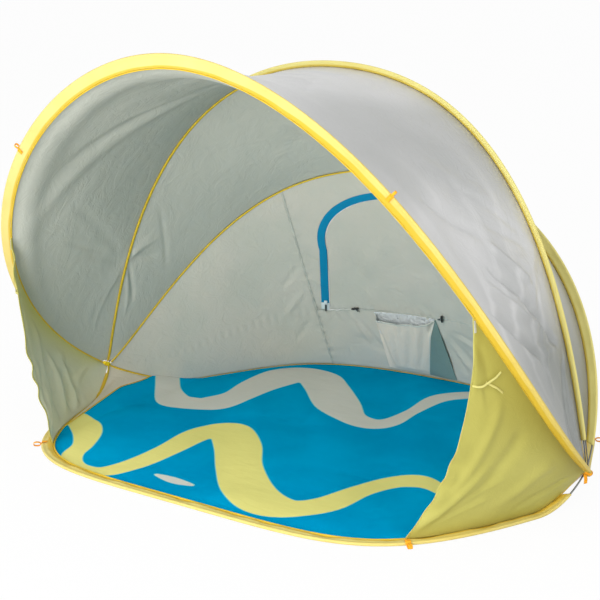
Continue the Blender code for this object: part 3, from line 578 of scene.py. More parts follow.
yellow_tie_paint = plain_cloth("yellow_webbing", shade(250, 226, 40), shade(236, 206, 20), 0.6, 0.0018,
                               0.0002)
ribbon_paint = plain_cloth("ribbon_cloth", shade(206, 200, 124), shade(194, 187, 108), 0.5)
webbing_paint = plain_cloth("orange_webbing", shade(252, 178, 44), shade(240, 158, 26), 0.6, 0.0018, 0.0002)
floor_paint = floor_print()
steel_paint = steel()
plastic_paint = black_plastic()
lining_paint = silver_lining()
elastic_paint = plain_cloth("dark_elastic", shade(74, 80, 76), shade(52, 58, 55), 0.7, 0.0010, 0.0001)
pocket_hem_paint = plain_cloth("pocket_hem", shade(206, 208, 198), shade(190, 193, 183), 0.6)


def dress(obj, body, slot, *nodes):
    """Sets a piece on its body and in place of its plain solids; slot is not used."""
    if body:
        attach(obj, body)
    if nodes:
        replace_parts(obj, *nodes)


def joined(obj, first, second, share):
    """Cloth sewn to two bodies, with its transform baked into its points; first, second and share are not
    used.
    """
    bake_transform(obj)


def bend_with_floor(obj):
    """Cloth on the floor, with its transform baked into its points."""
    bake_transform(obj)


def grid_values(across, down, value):
    """value(u, v) at every point of a grid, in the order in which the grid was made."""
    bm = bmesh.new()
    bmesh.ops.create_grid(bm, x_segments=across, y_segments=down, size=0.5)
    flat = np.array([v.co[:2] for v in bm.verts]) + 0.5
    bm.free()
    return value(flat[:, 0], flat[:, 1])


def sheet_piece(name, grid, surface, paints, body, slot, nodes,
                thickness=cloth, tone=None, shared=None):
    """A sheet of cloth with its two faces: grid is its steps across and down.

    Cloth on two bodies has body None, and shared gives both and a share for each (u, v), which joined does
    not use."""
    # tone gives the mark of painted sheen and shade for cloth with a painted shade colour.
    obj = laid(name, *grid, surface, paints, outward=inside_point, marks={"tone": tone} if tone else None)
    if shared:
        joined(obj, shared[0], shared[1], grid_values(*grid, shared[2]))
    thicken(obj, thickness)
    dress(obj, body, slot, *nodes)


# Wires
def tube(name, line, radius, sides, paint):
    """A round bar along a line of points, closed at both ends."""
    bm = bmesh.new()
    way = unit(np.gradient(line, axis=0))
    side = square_to(np.array([0.12, 1.0, 0.31]), way[0])
    rings = []
    for place, ahead in zip(line + fold_line, way):
        side = square_to(side, ahead)
        up = np.cross(ahead, side)
        made = bmesh.ops.create_circle(bm, segments=sides, radius=radius)
        turned = Matrix((Vector(side), Vector(up), Vector(ahead))).transposed().to_4x4()
        bmesh.ops.transform(bm, matrix=Matrix.Translation(Vector(place)) @ turned, verts=made["verts"])
        rings.append(made["verts"])
    for near, far in zip(rings, rings[1:]):
        for k in range(sides):
            after = (k + 1) % sides
            bm.faces.new((near[k], near[after], far[after], far[k])).smooth = True
    bm.faces.new(rings[0])
    bm.faces.new(rings[-1])
    bmesh.ops.recalc_face_normals(bm, faces=bm.faces)
    return finished(name, bm, paint)


def wire_shares(hoop, radius):
    """Shares along a wire, which ends beside the tie at each crossing."""
    first = (tie_radius + clearance * 2.5 + radius * abs(cos(hoop.leave))) / sin(hoop.leave) / hoop.length
    return np.linspace(first, 1 - first, 260)


for name, hoop, body in (("floor_back_wire", floor_back, "tent_base"),
                         ("rear_arch_wire", rear_arch, "tent_base"),
                         ("floor_front_wire", floor_front, "floor_front_hoop"),
                         ("front_arch_wire", front_arch, "front_arch_hoop")):
    line = hoop.at(wire_shares(hoop, hoop_wire_radius))
    dress(tube(name + "_drawn", line, hoop_wire_radius, 10, steel_paint), body, "spring_steel", name)
share = wire_shares(middle_arch, middle_wire_radius * 2)
aside = middle_arch.inward(share) * middle_wire_pitch / 2
for name, sign in (("middle_arch_wire_front", -1), ("middle_arch_wire_rear", 1)):
    line = middle_arch.at(share) + aside * sign
    dress(tube(name + "_drawn", line, middle_wire_radius, 10, steel_paint), "middle_arch_hoop",
          "spring_steel", name)


# Sleeves
def sleeve(node, hoop, start_share, end_slant, nose, body_half, carrier, paint, flip=False, left_share=None):
    """Flat sleeve that hugs its wire at the outer edge and closes to a stitched seam at the inner."""
    name = node + "_cloth"
    left_share = start_share if left_share is None else left_share
    whole = 1 - start_share - left_share
    phase = np.random.default_rng(len(name)).uniform(0, 2 * pi, 6)

    def section(u):
        """Share of the way from the wire to the seam, and which face, for places round the sleeve."""
        t = (u * 2) % 2
        upper = t <= 1
        return np.where(upper, t, 2 - t), np.where(upper, 1.0, -1.0)

    def surface(u, v):
        w, side = section(u)
        share = start_share + whole * v
        near = np.minimum(share - start_share, 1 - left_share - share) * hoop.length
        share = share + np.sign(0.5 - v) * end_slant * w / hoop.length * np.exp(-near / 0.012)
        centre = hoop.at(share)
        seam = hoop.seam(share)
        across = unit(seam - centre)
        up = square_to(hoop.fore(share) * (-1 if flip else 1), across)
        width = np.linalg.norm(seam - centre, axis=1)
        run = share * hoop.length
        x = -nose + (width + nose) * w
        bulge = nose * np.sqrt(np.clip(1 - (np.clip(x, -nose, 0) / nose) ** 2, 0, 1))
        fall = smooth(x, 0.0, nose * 3.2)
        wave = 0.7 * np.sin(run / 0.021 + phase[0]) + 0.6 * np.sin(run / 0.034 + phase[1])
        wave += 0.5 * np.sin(run / 0.0125 + phase[2] + side)
        swell = body_half * np.sin(pi * np.clip(x / np.maximum(width, 1e-4), 0, 1)) ** 0.8
        height = bulge * (1 - fall) + sleeve_seam_half * fall + swell * fall * (1 + 0.16 * wave)
        sway = 0.0007 * wave * np.clip(x / 0.02, 0, 1)
        return centre + across * x[:, None] + up * (side * height + sway)[:, None]

    def from_seam(u, v, places):
        w = section(u)[0]
        share = start_share + whole * v
        return (1 - w) * (hoop.opened(share) * hoop.width + nose)

    obj = laid(name, 28, 420, surface, paint, closed=True, marks={"from_seam": from_seam})
    cap_ends(obj)
    dress(obj, carrier, "sleeve_fabric", node)


def cap_ends(obj):
    """Closes a tube's two open ends."""
    bm = bmesh.new()
    bm.from_mesh(obj.data)
    bmesh.ops.holes_fill(bm, edges=[e for e in bm.edges if e.is_boundary], sides=0)
    bmesh.ops.recalc_face_normals(bm, faces=bm.faces)
    bm.to_mesh(obj.data)
    bm.free()


sleeve("front_arch_sleeve", front_arch, 0.006, 0.0, 0.0036, 0.0018, "front_arch_hoop", front_sleeve_paint)
sleeve("middle_arch_sleeve", middle_arch, 0.030, 0.0, 0.0044, 0.0012, "middle_arch_hoop", arch_sleeve_paint,
       left_share=0.010)
sleeve("rear_arch_sleeve", rear_arch, 0.030, 0.012, 0.0036, 0.0016, "tent_base", arch_sleeve_paint)
sleeve("floor_front_sleeve", floor_front, 0.030, 0.012, 0.0038, 0.0045, "floor_front_hoop",
       floor_sleeve_paint, flip=True, left_share=0.010)
sleeve("floor_back_sleeve", floor_back, 0.030, 0.012, 0.0038, 0.0045, "tent_base", floor_sleeve_paint,
       left_share=0.010)


# Roof panels
panel_share = 0.006
panel_table = np.linspace(panel_share, 1 - panel_share, 501)


def sag_way(a, b, centre, first_stations=()):
    """Which way cloth between two seams sinks along them, from nothing at the crossings to one.

    It grows with the stations of the part's own panels, as its sag does."""
    middle = (a + b) / 2
    way = square_to(square_to(centre - middle, unit(b - a)), unit(np.gradient(middle, axis=0)))
    stations = [*first_stations, 0.015, 0.03, *np.linspace(0.06, 0.5, 16)]
    stations += [1 - s for s in reversed(stations[:-1])]
    return way * np.sin(np.interp(panel_table, stations, np.linspace(0, pi, len(stations))))[:, None]


roof_sag_centre = inside_point * 0.987


def panel(edge_a, edge_b, sag):
    """Cloth between two seams, from the right crossing (u = 0) to the left, sagging inwards."""
    a, b = edge_a(panel_table), edge_b(panel_table)
    way = sag_way(a, b, roof_sag_centre)

    def surface(u, v):
        share = panel_share + (1 - 2 * panel_share) * u
        first, second, sink = [rows_at(share, panel_table, rows) for rows in (a, b, way)]
        return first * (1 - v)[:, None] + second * v[:, None] + sink * (sag * 4 * v * (1 - v))[:, None]
    return surface


front_to_middle = panel(lambda s: front_arch.seam(s, seam_gap, -layer_gap),
                        lambda s: middle_arch.seam(s, seam_gap, layer_gap), 0.020)
middle_to_rear = panel(lambda s: middle_arch.seam(s, seam_gap, -layer_gap),
                       lambda s: rear_arch.seam(s, seam_gap, layer_gap), 0.010)


def edge_fade(u, v):
    return within(v, 0.06, 0.94) * within(u, 0.03, 0.97)


roof_creases = Creases((2.5, 0.6), [
    *fan((0.115, 1.0), -pi / 2 - 0.1, 0.5, 0.9, 9, 0.011, 0.0045, 3),
    *fan((0.20, 1.0), -pi / 2, 0.5, 0.7, 8, 0.012, 0.0040, 5),
    *fan((0.885, 1.0), -pi / 2, 0.4, 0.7, 5, 0.016, 0.0030, 8),
    ((0.60, 0.72), (0.80, 0.10), 0.030, -0.006), ((0.56, 0.80), (0.74, 0.16), 0.020, 0.005),
    ((0.55, 0.92), (0.66, 0.35), 0.016, -0.004), ((0.86, 0.80), (0.82, 0.35), 0.010, 0.003),
    ((0.42, 0.12), (0.58, 0.20), 0.030, -0.006), ((0.40, 0.30), (0.60, 0.36), 0.035, 0.006),
    ((0.44, 0.52), (0.60, 0.58), 0.030, -0.005), ((0.24, 0.20), (0.30, 0.75), 0.040, -0.007),
    ((0.215, 0.30), (0.155, 0.62), 0.012, 0.0120), ((0.225, 0.42), (0.165, 0.70), 0.009, -0.0105),
    ((0.240, 0.55), (0.180, 0.80), 0.010, 0.0110), ((0.200, 0.20), (0.120, 0.55), 0.014, -0.0120),
    ((0.180, 0.62), (0.120, 0.85), 0.012, -0.0105), ((0.300, 0.30), (0.240, 0.60), 0.022, -0.0110),
    ((0.330, 0.50), (0.260, 0.82), 0.022, 0.0050), ((0.455, 0.62), (0.520, 0.60), 0.010, 0.0035),
    ((0.470, 0.74), (0.545, 0.72), 0.009, -0.0035), ((0.450, 0.84), (0.530, 0.86), 0.008, 0.0030),
    ((0.435, 0.40), (0.475, 0.70), 0.012, -0.0035)])


def roof_relief(u, v):
    trough = -0.010 * bump(v, 0.10, 0.07) * smooth(u, 0.05, 0.2) * (1 - smooth(u, 0.8, 0.95))
    return (roof_creases(u, v) + trough) * edge_fade(u, v)


def front_painted_sheen(u, v, places):
    """Painted sheen and shade on the outer silver cloth: broad soft bands round the roof, lightest over the
    crown, with thin painted highlights along the folds.
    """
    share = [0.0, 0.08, 0.13, 0.17, 0.20, 0.25, 0.28, 0.31, 0.35, 0.40, 0.44, 0.50, 0.58, 0.66, 0.75, 0.86,
             1.0]
    light = [0.12, 0.15, 0.25, 0.62, 0.80, 0.95, 0.88, 0.62, 0.50, 0.60, 0.90, 1.0, 0.8, 0.6, 0.85, 0.5, 0.2]
    base = np.interp(u + 0.05 * (v - 0.4) + 0.012 * np.sin(v * 9), share, light)
    streak = 0.25 * bump(v, 0.12, 0.10) + 0.10 * np.sin(v * 14 + 8 * u) * bump(u, 0.22, 0.10)
    streak = streak + 0.28 * bump(u, 0.20, 0.09) * np.clip(np.sin(v * 30 + 5 * np.sin(u * 16)), 0, 1) ** 3
    return np.clip(base + streak - 0.30 * bump(u, 0.12, 0.05) * smooth(v, 0.3, 0.8), 0, 1)


def rear_painted_shade(u, v, places):
    # Painted shade: the rear cloth is darker towards both crossings and lighter over the crown, with soft
    # painted sheen waves.
    base = np.interp(np.minimum(u, 1 - u), [0.0, 0.12, 0.22, 0.32, 0.5], [0.10, 0.14, 0.35, 0.6, 0.85])
    return np.clip(base + 0.08 * np.sin(v * 6 + u * 20), 0, 1)


def wall_painted_sheen(u, v, places):
    # Painted sheen: soft lighter and darker waves over the wall's silver outer face.
    return np.clip(0.55 + 0.3 * np.sin(places[:, 0] * 7) * np.sin(v * 3), 0, 1)


sheet_piece("roof_front_cloth", (420, 90), folded(front_to_middle, roof_relief), roof_faces, None,
            "roof_fabric", ["roof_front_panel"],
            tone=front_painted_sheen,
            shared=("middle_arch_hoop", "front_arch_hoop", lambda u, v: 1 - v))

rear_creases = Creases((2.2, 0.42), [
    *fan((0.12, 0.0), pi / 2, 0.5, 0.5, 6, 0.012, 0.0030, 13),
    *fan((0.88, 0.0), pi / 2, 0.5, 0.5, 6, 0.012, 0.0030, 14),
    ((0.35, 0.3), (0.65, 0.45), 0.03, -0.004), ((0.80, 0.15), (0.86, 0.7), 0.010, 0.003)])
# No joint joins the middle arch to the base. Its coupled joints turn it this share of the floor hoop's turn.
middle_arch_turn = 1 - 0.578947 - 0.273684
sheet_piece("roof_rear_cloth", (380, 64),
            folded(middle_to_rear, lambda u, v: rear_creases(u, v) * edge_fade(u, v)), roof_faces, None,
            "roof_fabric", ["roof_rear_panel"],
            tone=rear_painted_shade,
            shared=("tent_base", "floor_front_hoop", lambda u, v: middle_arch_turn * (1 - v)))

# Back wall
wall_sag = 0.006
wall_top = rear_arch.seam(panel_table, seam_gap, -layer_gap)
wall_foot = floor_back.seam(panel_table, seam_gap, layer_gap + sleeve_seam_half)
wall_way = sag_way(wall_top, wall_foot, inside_point, [0.006])


def wall(share, down):
    """Back wall at a share along the hoops and a share of the way down."""
    top, foot, way = [rows_at(share, panel_table, rows) for rows in (wall_top, wall_foot, wall_way)]
    down = down[:, None]
    return top * (1 - down) + foot * down + way * wall_sag * 4 * down * (1 - down)


def wall_across(x, down):
    """Share along the hoops at which the wall has this x, for each point."""
    share = 0.5 - x / 1.4
    for turn in range(5):
        here = wall(share, down)[:, 0]
        ahead = wall(share + slope_step, down)[:, 0]
        share = share - (here - x) / np.minimum((ahead - here) / slope_step, -0.2)
        share = np.clip(share, panel_share, 1 - panel_share)
    return share


one = np.array([1.0])
window_foot, window_head = [wall(wall_across(one * window_middle_x, one * down), one * down)[0]
                            for down in (wall_seam_share, wall_seam_share * 0.2)]
window_up = unit(window_head - window_foot)
window_height = window_leg + window_rise
wall_length = 2.2
wall_drop = 0.50


def wall_in_window(a, b):
    """Share along and share down of the wall point that is a across and b above the window's foot."""
    x = window_middle_x + a
    down = wall_seam_share - b / wall_drop
    for turn in range(6):
        share = wall_across(x, down)
        here = (wall(share, down) - window_foot) @ window_up
        below = down + slope_step
        ahead = (wall(wall_across(x, below), below) - window_foot) @ window_up
        down = down - (here - b) / np.minimum((ahead - here) / slope_step, -0.1)
        down = np.clip(down, 0.0, 1.0)
    return wall_across(x, down), down


window_leg_bend = 0.02


def half_window(b, grow):
    """Half the window's width at a height above its foot."""
    half = window_half_width + grow
    climb = np.clip((b - window_leg) / (window_rise + grow), 0, 1)
    arch_half = half * (1 - climb ** window_squareness) ** (1 / window_squareness)
    lean = 1 - b / window_leg
    lean = (np.sqrt(lean ** 2 + window_leg_bend) + lean) / 2 * (1 - climb) ** 2
    return arch_half + window_foot_flare * lean


def wall_mark(x, height):
    """Share along and share down of the wall's point at an x and a height above the ground in mm."""
    down = np.linspace(0, 1, 101)
    share = wall_across(np.full(101, x / 1000), down)
    z = wall(share, down)[:, 2] + fold_line[2]
    found = np.interp(-height / 1000, -z, down)
    return float(np.interp(found, down, share)), float(found)


def wall_stroke(start, end, width, height):
    """A stroke on the wall, from millimetres: its ends are given by x and the height above the ground."""
    return wall_mark(*start), wall_mark(*end), width / 1000, height / 1000


wall_strokes = [wall_stroke(*stroke) for stroke in (
    ((-11, 180), (10, 30), 10, 6), ((2, 176), (82, 44), 9, -6.5), ((20, 165), (100, 60), 12, 4.5),
    ((18, 158), (64, 27), 10, 5), ((51, 168), (111, 130), 6, -3), ((35, 174), (130, 150), 6, 2.5),
    ((-280, 192), (-243, 85), 8, -4), ((-275, 190), (-213, 79), 8, 4), ((-300, 200), (-267, 133), 7, 3),
    ((-118, 250), (-117, 190), 5, -2), ((-45, 245), (-20, 187), 5, -2.2), ((-60, 240), (-45, 193), 4, 1.8),
    ((-80, 235), (-71, 190), 4, -1.8), ((20, 240), (30, 190), 5, 1.8), ((-328, 228), (-305, 156), 8, -2.5),
    ((-362, 372), (-325, 350), 5, 2.2), ((-370, 300), (-330, 272), 6, -2.4),
    ((-380, 224), (-350, 165), 8, 3.5), ((-388, 122), (-361, 54), 7, -2.8),
    ((-378, 349), (-447, 257), 7, 2.6), ((-390, 257), (-461, 164), 8, -3.2),
    ((-393, 163), (-449, 88), 8, 3), ((-150, 60), (-300, 110), 14, 3), ((150, 150), (240, 60), 14, 4),
    ((385, 240), (445, 150), 9, 3.2), ((390, 160), (450, 80), 9, -3.2), ((50, 520), (230, 420), 22, 4),
    ((-60, 480), (-200, 330), 24, -4), ((0, 400), (60, 240), 26, 3.5), ((-250, 400), (-180, 260), 20, 3))]
wall_creases = Creases((wall_length, wall_drop), wall_strokes)
pucker_height = 0.0011


def wall_relief(share, down):
    inner = within(down, 0.06, 0.94)
    low_seam = np.sin(share * wall_length / 0.0042) * bump(down, wall_seam_share, 0.030)
    side_seams = bump(share, 1 - window_seam_share, 0.006) + bump(share, window_seam_share, 0.006)
    puckers = low_seam + np.sin(down * wall_drop / 0.0040) * side_seams
    return (wall_creases(share, down) + pucker_height * puckers) * inner


def wall_square(share, down):
    """Direction out of the wall into the tent at each point."""
    along = wall(share + slope_step, down) - wall(share - slope_step, down)
    above, below = [wall(share, np.clip(down + step, 0, 1)) for step in (-slope_step, slope_step)]
    square = unit(np.cross(below - above, along))
    return square * -np.sign(square[:, 1:2])


def wall_cloth(u_to_share, lift=0.0):
    """A wall piece: places on it are given as a share along the hoops and a share down."""
    def surface(u, v):
        share, down = u_to_share(u, v)
        return wall(share, down) - wall_square(share, down) * (wall_relief(share, down) - lift)[:, None]
    return surface


def block(s0, s1, d0, d1):
    return lambda u, v: (s0 + (s1 - s0) * u, d0 + (d1 - d0) * v)


seam_s = seam_gap / wall_length
seam_d = seam_gap / wall_drop
right_s = window_seam_share
left_s = 1 - window_seam_share


def wall_piece(name, grid, where, node, body="tent_base"):
    sheet_piece(name, grid, wall_cloth(where), wall_faces, body, "roof_fabric", [node],
                tone=wall_painted_sheen)


wall_piece("back_wall_right_cloth", (110, 90), block(panel_share, right_s - seam_s, 0, 1),
           "back_panel_right")
wall_piece("back_wall_left_cloth", (110, 90), block(left_s + seam_s, 1 - panel_share, 0, 1),
           "back_panel_left")
wall_piece("back_wall_lower_cloth", (180, 40),
           block(right_s + seam_s, left_s - seam_s, wall_seam_share + seam_d, 1), "back_panel_lower")


def window_ring(u):
    """Places along the window's outline from its right foot over the top to its left foot."""
    straight = 0.25
    power = 2 / window_squareness
    climb = np.clip(u / straight, 0, 1)
    fall = np.clip((1 - u) / straight, 0, 1)
    turn = pi * np.clip((u - straight) / (1 - 2 * straight), 0, 1)
    leg = np.where(u < 0.5, climb, fall)
    a = signed_power(np.cos(turn), power) * window_half_width
    a = a + np.where(u < 0.5, 1, -1) * window_foot_flare * (1 - leg)
    return a, leg * window_leg + np.clip(np.sin(turn), 0, 1) ** power * window_rise


def window_surround(u, v):
    ring_a, ring_b = window_ring(u)
    share_in, down_in = wall_in_window(ring_a, ring_b)
    up = np.clip(u / 0.3, 0, 1)
    back = np.clip((1 - u) / 0.3, 0, 1)
    share_out = right_s + seam_s + (left_s - right_s - 2 * seam_s) * np.clip((u - 0.3) / 0.4, 0, 1)
    down_out = (wall_seam_share - seam_d) * (1 - np.where(u < 0.5, up, back))
    down_in = np.minimum(down_in, wall_seam_share - seam_d)
    return share_in * (1 - v) + share_out * v, down_in * (1 - v) + down_out * v


flap_gap = 0.001


def window_fill(u, v):
    b = (window_height - flap_gap) * v
    return wall_in_window((1 - 2 * u) * half_window(b, -flap_gap), b)


wall_piece("window_surround_cloth", (200, 44), window_surround, "back_panel_upper")
wall_piece("window_flap_cloth", (150, 100), window_fill, "rear_window_flap",
           "rear_window_flap")

tape_inner = 0.0005
tape_outer = 0.0225


def zip_tape(u, v):
    """u across the tape from the window outwards, v along it from the right foot to the left."""
    a, b = window_ring(v)
    a2, b2 = window_ring(np.clip(v + slope_step, 0, 1))
    a1, b1 = window_ring(np.clip(v - slope_step, 0, 1))
    way = unit(np.column_stack([a2 - a1, b2 - b1]))
    off = tape_inner + (tape_outer - tape_inner) * u
    return wall_in_window(a + way[:, 1] * off, np.maximum(b - way[:, 0] * off, 0.002))


tape = laid("window_tape_cloth", 10, 260, wall_cloth(zip_tape, lift=0.0016), tape_paint,
            outward=inside_point)
thicken(tape, 0.0009)
dress(tape, "tent_base", "zip_tape", "window_zip_tape")
for end_name, first, last in (("right", 0.001, 0.030), ("left", 0.970, 0.999)):
    tape_end = laid("window_tape_end_" + end_name, 8, 14,
                    wall_cloth(lambda u, v: zip_tape(u * 1.04 - 0.02, first + (last - first) * v),
                               lift=0.0028), tape_end_paint, outward=inside_point)
    thicken(tape_end, 0.0008)
    dress(tape_end, "tent_base", "zip_tape")


# Seams and bindings
def flat_way(line, towards):
    """Directions across and out of a flat ribbon along a line, whose face looks a given way."""
    way = unit(np.gradient(line, axis=0))
    out = square_to(np.array([towards]) + 0 * way, way)
    return np.cross(out, way), out


def strip(name, line, side, up, width, height, paint, body, slot, share=None, bodies=None,
          over_fold=False, sides=8):
    """A rounded binding along a seam: side and up are its two directions at each point.

    On two bodies, share gives a share for each point along its length, which joined does not use."""
    def surface(u, v):
        k = v * (len(line) - 1)
        low = np.clip(k.astype(int), 0, len(line) - 2)
        part = (k - low)[:, None]
        place = line[low] * (1 - part) + line[low + 1] * part
        across = unit(side[low] * (1 - part) + side[low + 1] * part)
        rise = unit(up[low] * (1 - part) + up[low + 1] * part)
        turn = 2 * pi * u
        return (place + across * (np.cos(turn) * width / 2)[:, None]
                + rise * (np.sin(turn) * height / 2)[:, None])
    obj = laid(name, sides, len(line) * 2, surface, paint, closed=True,
               marks={"along": lambda u, v, places: v})
    cap_ends(obj)
    if bodies:
        along = np.empty(len(obj.data.vertices), np.float32)
        obj.data.attributes["along"].data.foreach_get("value", along)
        joined(obj, *bodies, share(along))
    if over_fold:
        bend_with_floor(obj)
    dress(obj, body, slot)


for hoop_name, hoop, body, width, height, inward, fore in (
        ("middle_arch", middle_arch, "middle_arch_hoop", 0.0092, 0.0050, 0.0026, 0.0),
        ("rear_arch", rear_arch, "tent_base", 0.0060, 0.0042, 0.0024, 0.0),
        ("front_arch", front_arch, "front_arch_hoop", 0.0046, 0.0030, 0.0012, 0.0),
        ("floor_back", floor_back, "tent_base", 0.0060, 0.0040, 0.0024, -0.002),
        ("floor_front", floor_front, "floor_front_hoop", 0.0090, 0.0040, 0.0014, -0.0012)):
    share = np.linspace(0.004, 1 - 0.004, 200)
    strip(hoop_name + "_seam_binding", hoop.seam(share, inward, fore), hoop.fore(share), hoop.inward(share),
          width, height, binding_paint, body, "sleeve_fabric")

# Seams of the back wall
into_the_tent = (0.0, -0.93, -0.37)
seam_run = np.linspace(0.002, 0.995, 150)
for seam_name, share, down, width in (
        ("right", np.full(150, right_s), seam_run, 0.0062), ("left", np.full(150, left_s), seam_run, 0.0062),
        ("low", np.linspace(right_s, left_s, 220), np.full(220, wall_seam_share), 0.0050)):
    line = wall_cloth(lambda u, v: (share, down), 0.0004)(None, None)
    strip("back_wall_seam_" + seam_name, line, *flat_way(line, into_the_tent), width, 0.0016, seam_paint,
          "tent_base", "roof_fabric")


# Pocket: a bellows pocket with a silver lining behind its sagging mouth
pocket_left_x = -0.206
pocket_right_x = -0.004
pocket_foot_right_x = -0.075
pocket_side_foot_x = 0.016
pocket_foot_down = 0.985


def on_wall(x, down, lift):
    share = wall_across(x, down)
    return wall(share, down) + wall_square(share, down) * lift[:, None]


def pocket_mouth_down(u):
    return wall_seam_share + 0.012 + 0.012 * np.clip(np.sin(pi * u), 0, 1) ** 0.75


def pocket_front(u, v):
    top = pocket_mouth_down(u)
    down = top + (pocket_foot_down - top) * v
    fall = np.clip((down - wall_seam_share) / (pocket_foot_down - wall_seam_share), 0, 1)
    right = pocket_right_x + (pocket_foot_right_x - pocket_right_x) * fall
    x = pocket_left_x + (right - pocket_left_x) * u
    fold_at = 0.10 + 0.16 * v
    stand = smooth(u / fold_at, 0.25, 1.0)
    lift = 0.020 * (1 - v) ** 0.8 + 0.012 * (1 - v * 0.6)
    lift = 0.0016 + stand * lift * (1 - 0.35 * smooth(u, 0.75, 1.0))
    lift = lift * (1 - smooth(v, 0.90, 1.0) * 0.55)
    lift = lift * (1 - smooth(u, 0.93, 1.0) * (1 - smooth(v, 0.0, 0.25)) * 0.7)
    folds = 0.0020 * np.sin(u * 26 + 3 * v) * within(v, 0.3, 0.7) * stand
    folds = folds + 0.0040 * bump(u - 0.46 + 0.16 * v, 0.0, 0.05) * (1 - smooth(v, 0.2, 0.8))
    folds = folds - 0.0035 * bump(u - 0.66 - 0.10 * v, 0.0, 0.06) * (1 - smooth(v, 0.3, 0.9))
    return on_wall(x, down, lift + folds)


def pocket_side(u, v):
    """Side of the pocket: u from its front's free edge back to the wall, v from its top down."""
    edge = pocket_front(np.full_like(v, 0.997), v)
    down = (wall_seam_share + 0.008 + (pocket_foot_down + 0.006 - wall_seam_share) * v).clip(0, 0.99)
    x = pocket_right_x + 0.002 + (pocket_side_foot_x - pocket_right_x) * v
    back = on_wall(x, down, np.full_like(v, 0.0022))
    pleat = 0.0015 * np.sin(pi * u) * smooth(v, 0.05, 0.5)
    place = edge * (1 - u)[:, None] + back * u[:, None]
    return place + wall_square(wall_across(x, down), down) * pleat[:, None]


def pocket_lining(u, v):
    x = pocket_left_x + 0.003 + (pocket_right_x - pocket_left_x - 0.006) * u
    down = wall_seam_share + 0.004 + 0.115 * v
    crinkle = 0.0012 * np.sin(u * 95 + 9 * np.sin(v * 7)) * np.sin(u * 37 + v * 14)
    return on_wall(x, down, 0.0022 + crinkle.clip(-0.0008))


pocket_paint = tent_cloth("pocket_front_cloth", shade(226, 216, 200), shade(214, 206, 190), 0.6)
sheet_piece("back_wall_pocket_cloth", (90, 60), pocket_front, [lining_paint, pocket_paint], "tent_base",
            "roof_fabric", ["back_wall_pocket"],
            0.0006)
# The side gusset carries the painted shade of the recess behind the pocket's free edge.
sheet_piece("back_wall_pocket_side", (20, 60), pocket_side, pocket_side_shade_paint, "tent_base", "roof_fabric", [],
            0.0006)
sheet_piece("back_wall_pocket_lining", (120, 34), pocket_lining, lining_paint, "tent_base", "roof_fabric", [],
            thickness=0.0005)
for edge_name, edge in (("mouth", pocket_front(np.linspace(0.0, 1.0, 60), np.zeros(60))),
                        ("side", pocket_front(np.ones(50), np.linspace(0.0, 1.0, 50)))):
    strip("back_wall_pocket_hem_" + edge_name, edge, *flat_way(edge, into_the_tent), 0.0055, 0.0018,
          pocket_hem_paint, "tent_base", "roof_fabric")


# Toggles: a barrel on a small loop of elastic, sewn into the seam under the window
barrel_length = 0.024
barrel_radius = 0.0034


def barrel(name, middle, way):
    """Barrel of moulded plastic with rounded ends and a waist for the elastic."""
    way = unit(np.array(way))
    side = square_to(np.array([0.1, -1.0, 0.2]), way)
    other = np.cross(way, side)

    def surface(u, v):
        along = (v - 0.5) * barrel_length
        round_end = np.sqrt(np.clip(1 - (np.abs(along) / 0.01205) ** 6, 0, 1))
        radius = barrel_radius * round_end * (1 - 0.22 * bump(along, 0.0, 0.0022)) + 0.00002
        turn = 2 * pi * u
        ring = side * np.cos(turn)[:, None] + other * np.sin(turn)[:, None]
        return middle + way * along[:, None] + ring * radius[:, None]
    obj = laid(name + "_barrel", 20, 44, surface, plastic_paint, closed=True)
    cap_ends(obj)
    dress(obj, name, "toggle_plastic", name)


def wave_line(points, steps):
    """A smooth line through points."""
    ends = np.vstack([2 * points[0] - points[1], points, 2 * points[-1] - points[-2]])
    samples = []
    for a, b, c, d in zip(ends, ends[1:], ends[2:], ends[3:]):
        for t in np.linspace(0, 1, steps, endpoint=False):
            samples.append(0.5 * ((2 * b) + (c - a) * t + (2 * a - 5 * b + 4 * c - d) * t ** 2
                                  + (3 * b - a - 3 * c + d) * t ** 3))
    samples.append(points[-1])
    return np.array(samples)


for name, seat, offset, way in (
        ("toggle_left", (-0.253, 0.47848, 0.20038), (-0.006, -0.007, 0.006), (0.97, 0.12, 0.20)),
        ("toggle_middle", (0.010, 0.49669, 0.21174), (0.014, -0.008, 0.004), (0.10, -0.38, 0.92)),
        ("toggle_right", (0.273, 0.47425, 0.19821), (-0.006, -0.007, 0.006), (0.97, 0.12, 0.20))):
    seat = np.array(seat) - fold_line
    middle = seat + np.array(offset)
    barrel(name, middle, way)
    knots = [near + np.array(step) for near, step in (
        (seat, (0.004, 0.001, -0.004)), (seat, (0.003, -0.004, 0.002)), (middle, (0.0012, -0.0034, 0.0015)),
        (middle, (-0.0006, -0.001, 0.0036)), (middle, (-0.002, 0.003, 0.0)), (seat, (-0.002, -0.002, 0.0)),
        (seat, (-0.002, 0.001, -0.004)))]
    dress(tube(name + "_elastic", wave_line(np.array(knots), 10), 0.0009, 8, elastic_paint), name,
          "toggle_plastic")


# Groundsheet and its print
def even_line(line):
    run = path_length(line)
    return rows_at(np.linspace(0, run[-1], 200), run, line)


def pick_line(line):
    table = np.linspace(0, 1, len(line))
    return lambda u: rows_at(u, table, line)


def side_share(share, side):
    return share if side > 0 else 1 - share


gusset_reach = 0.71


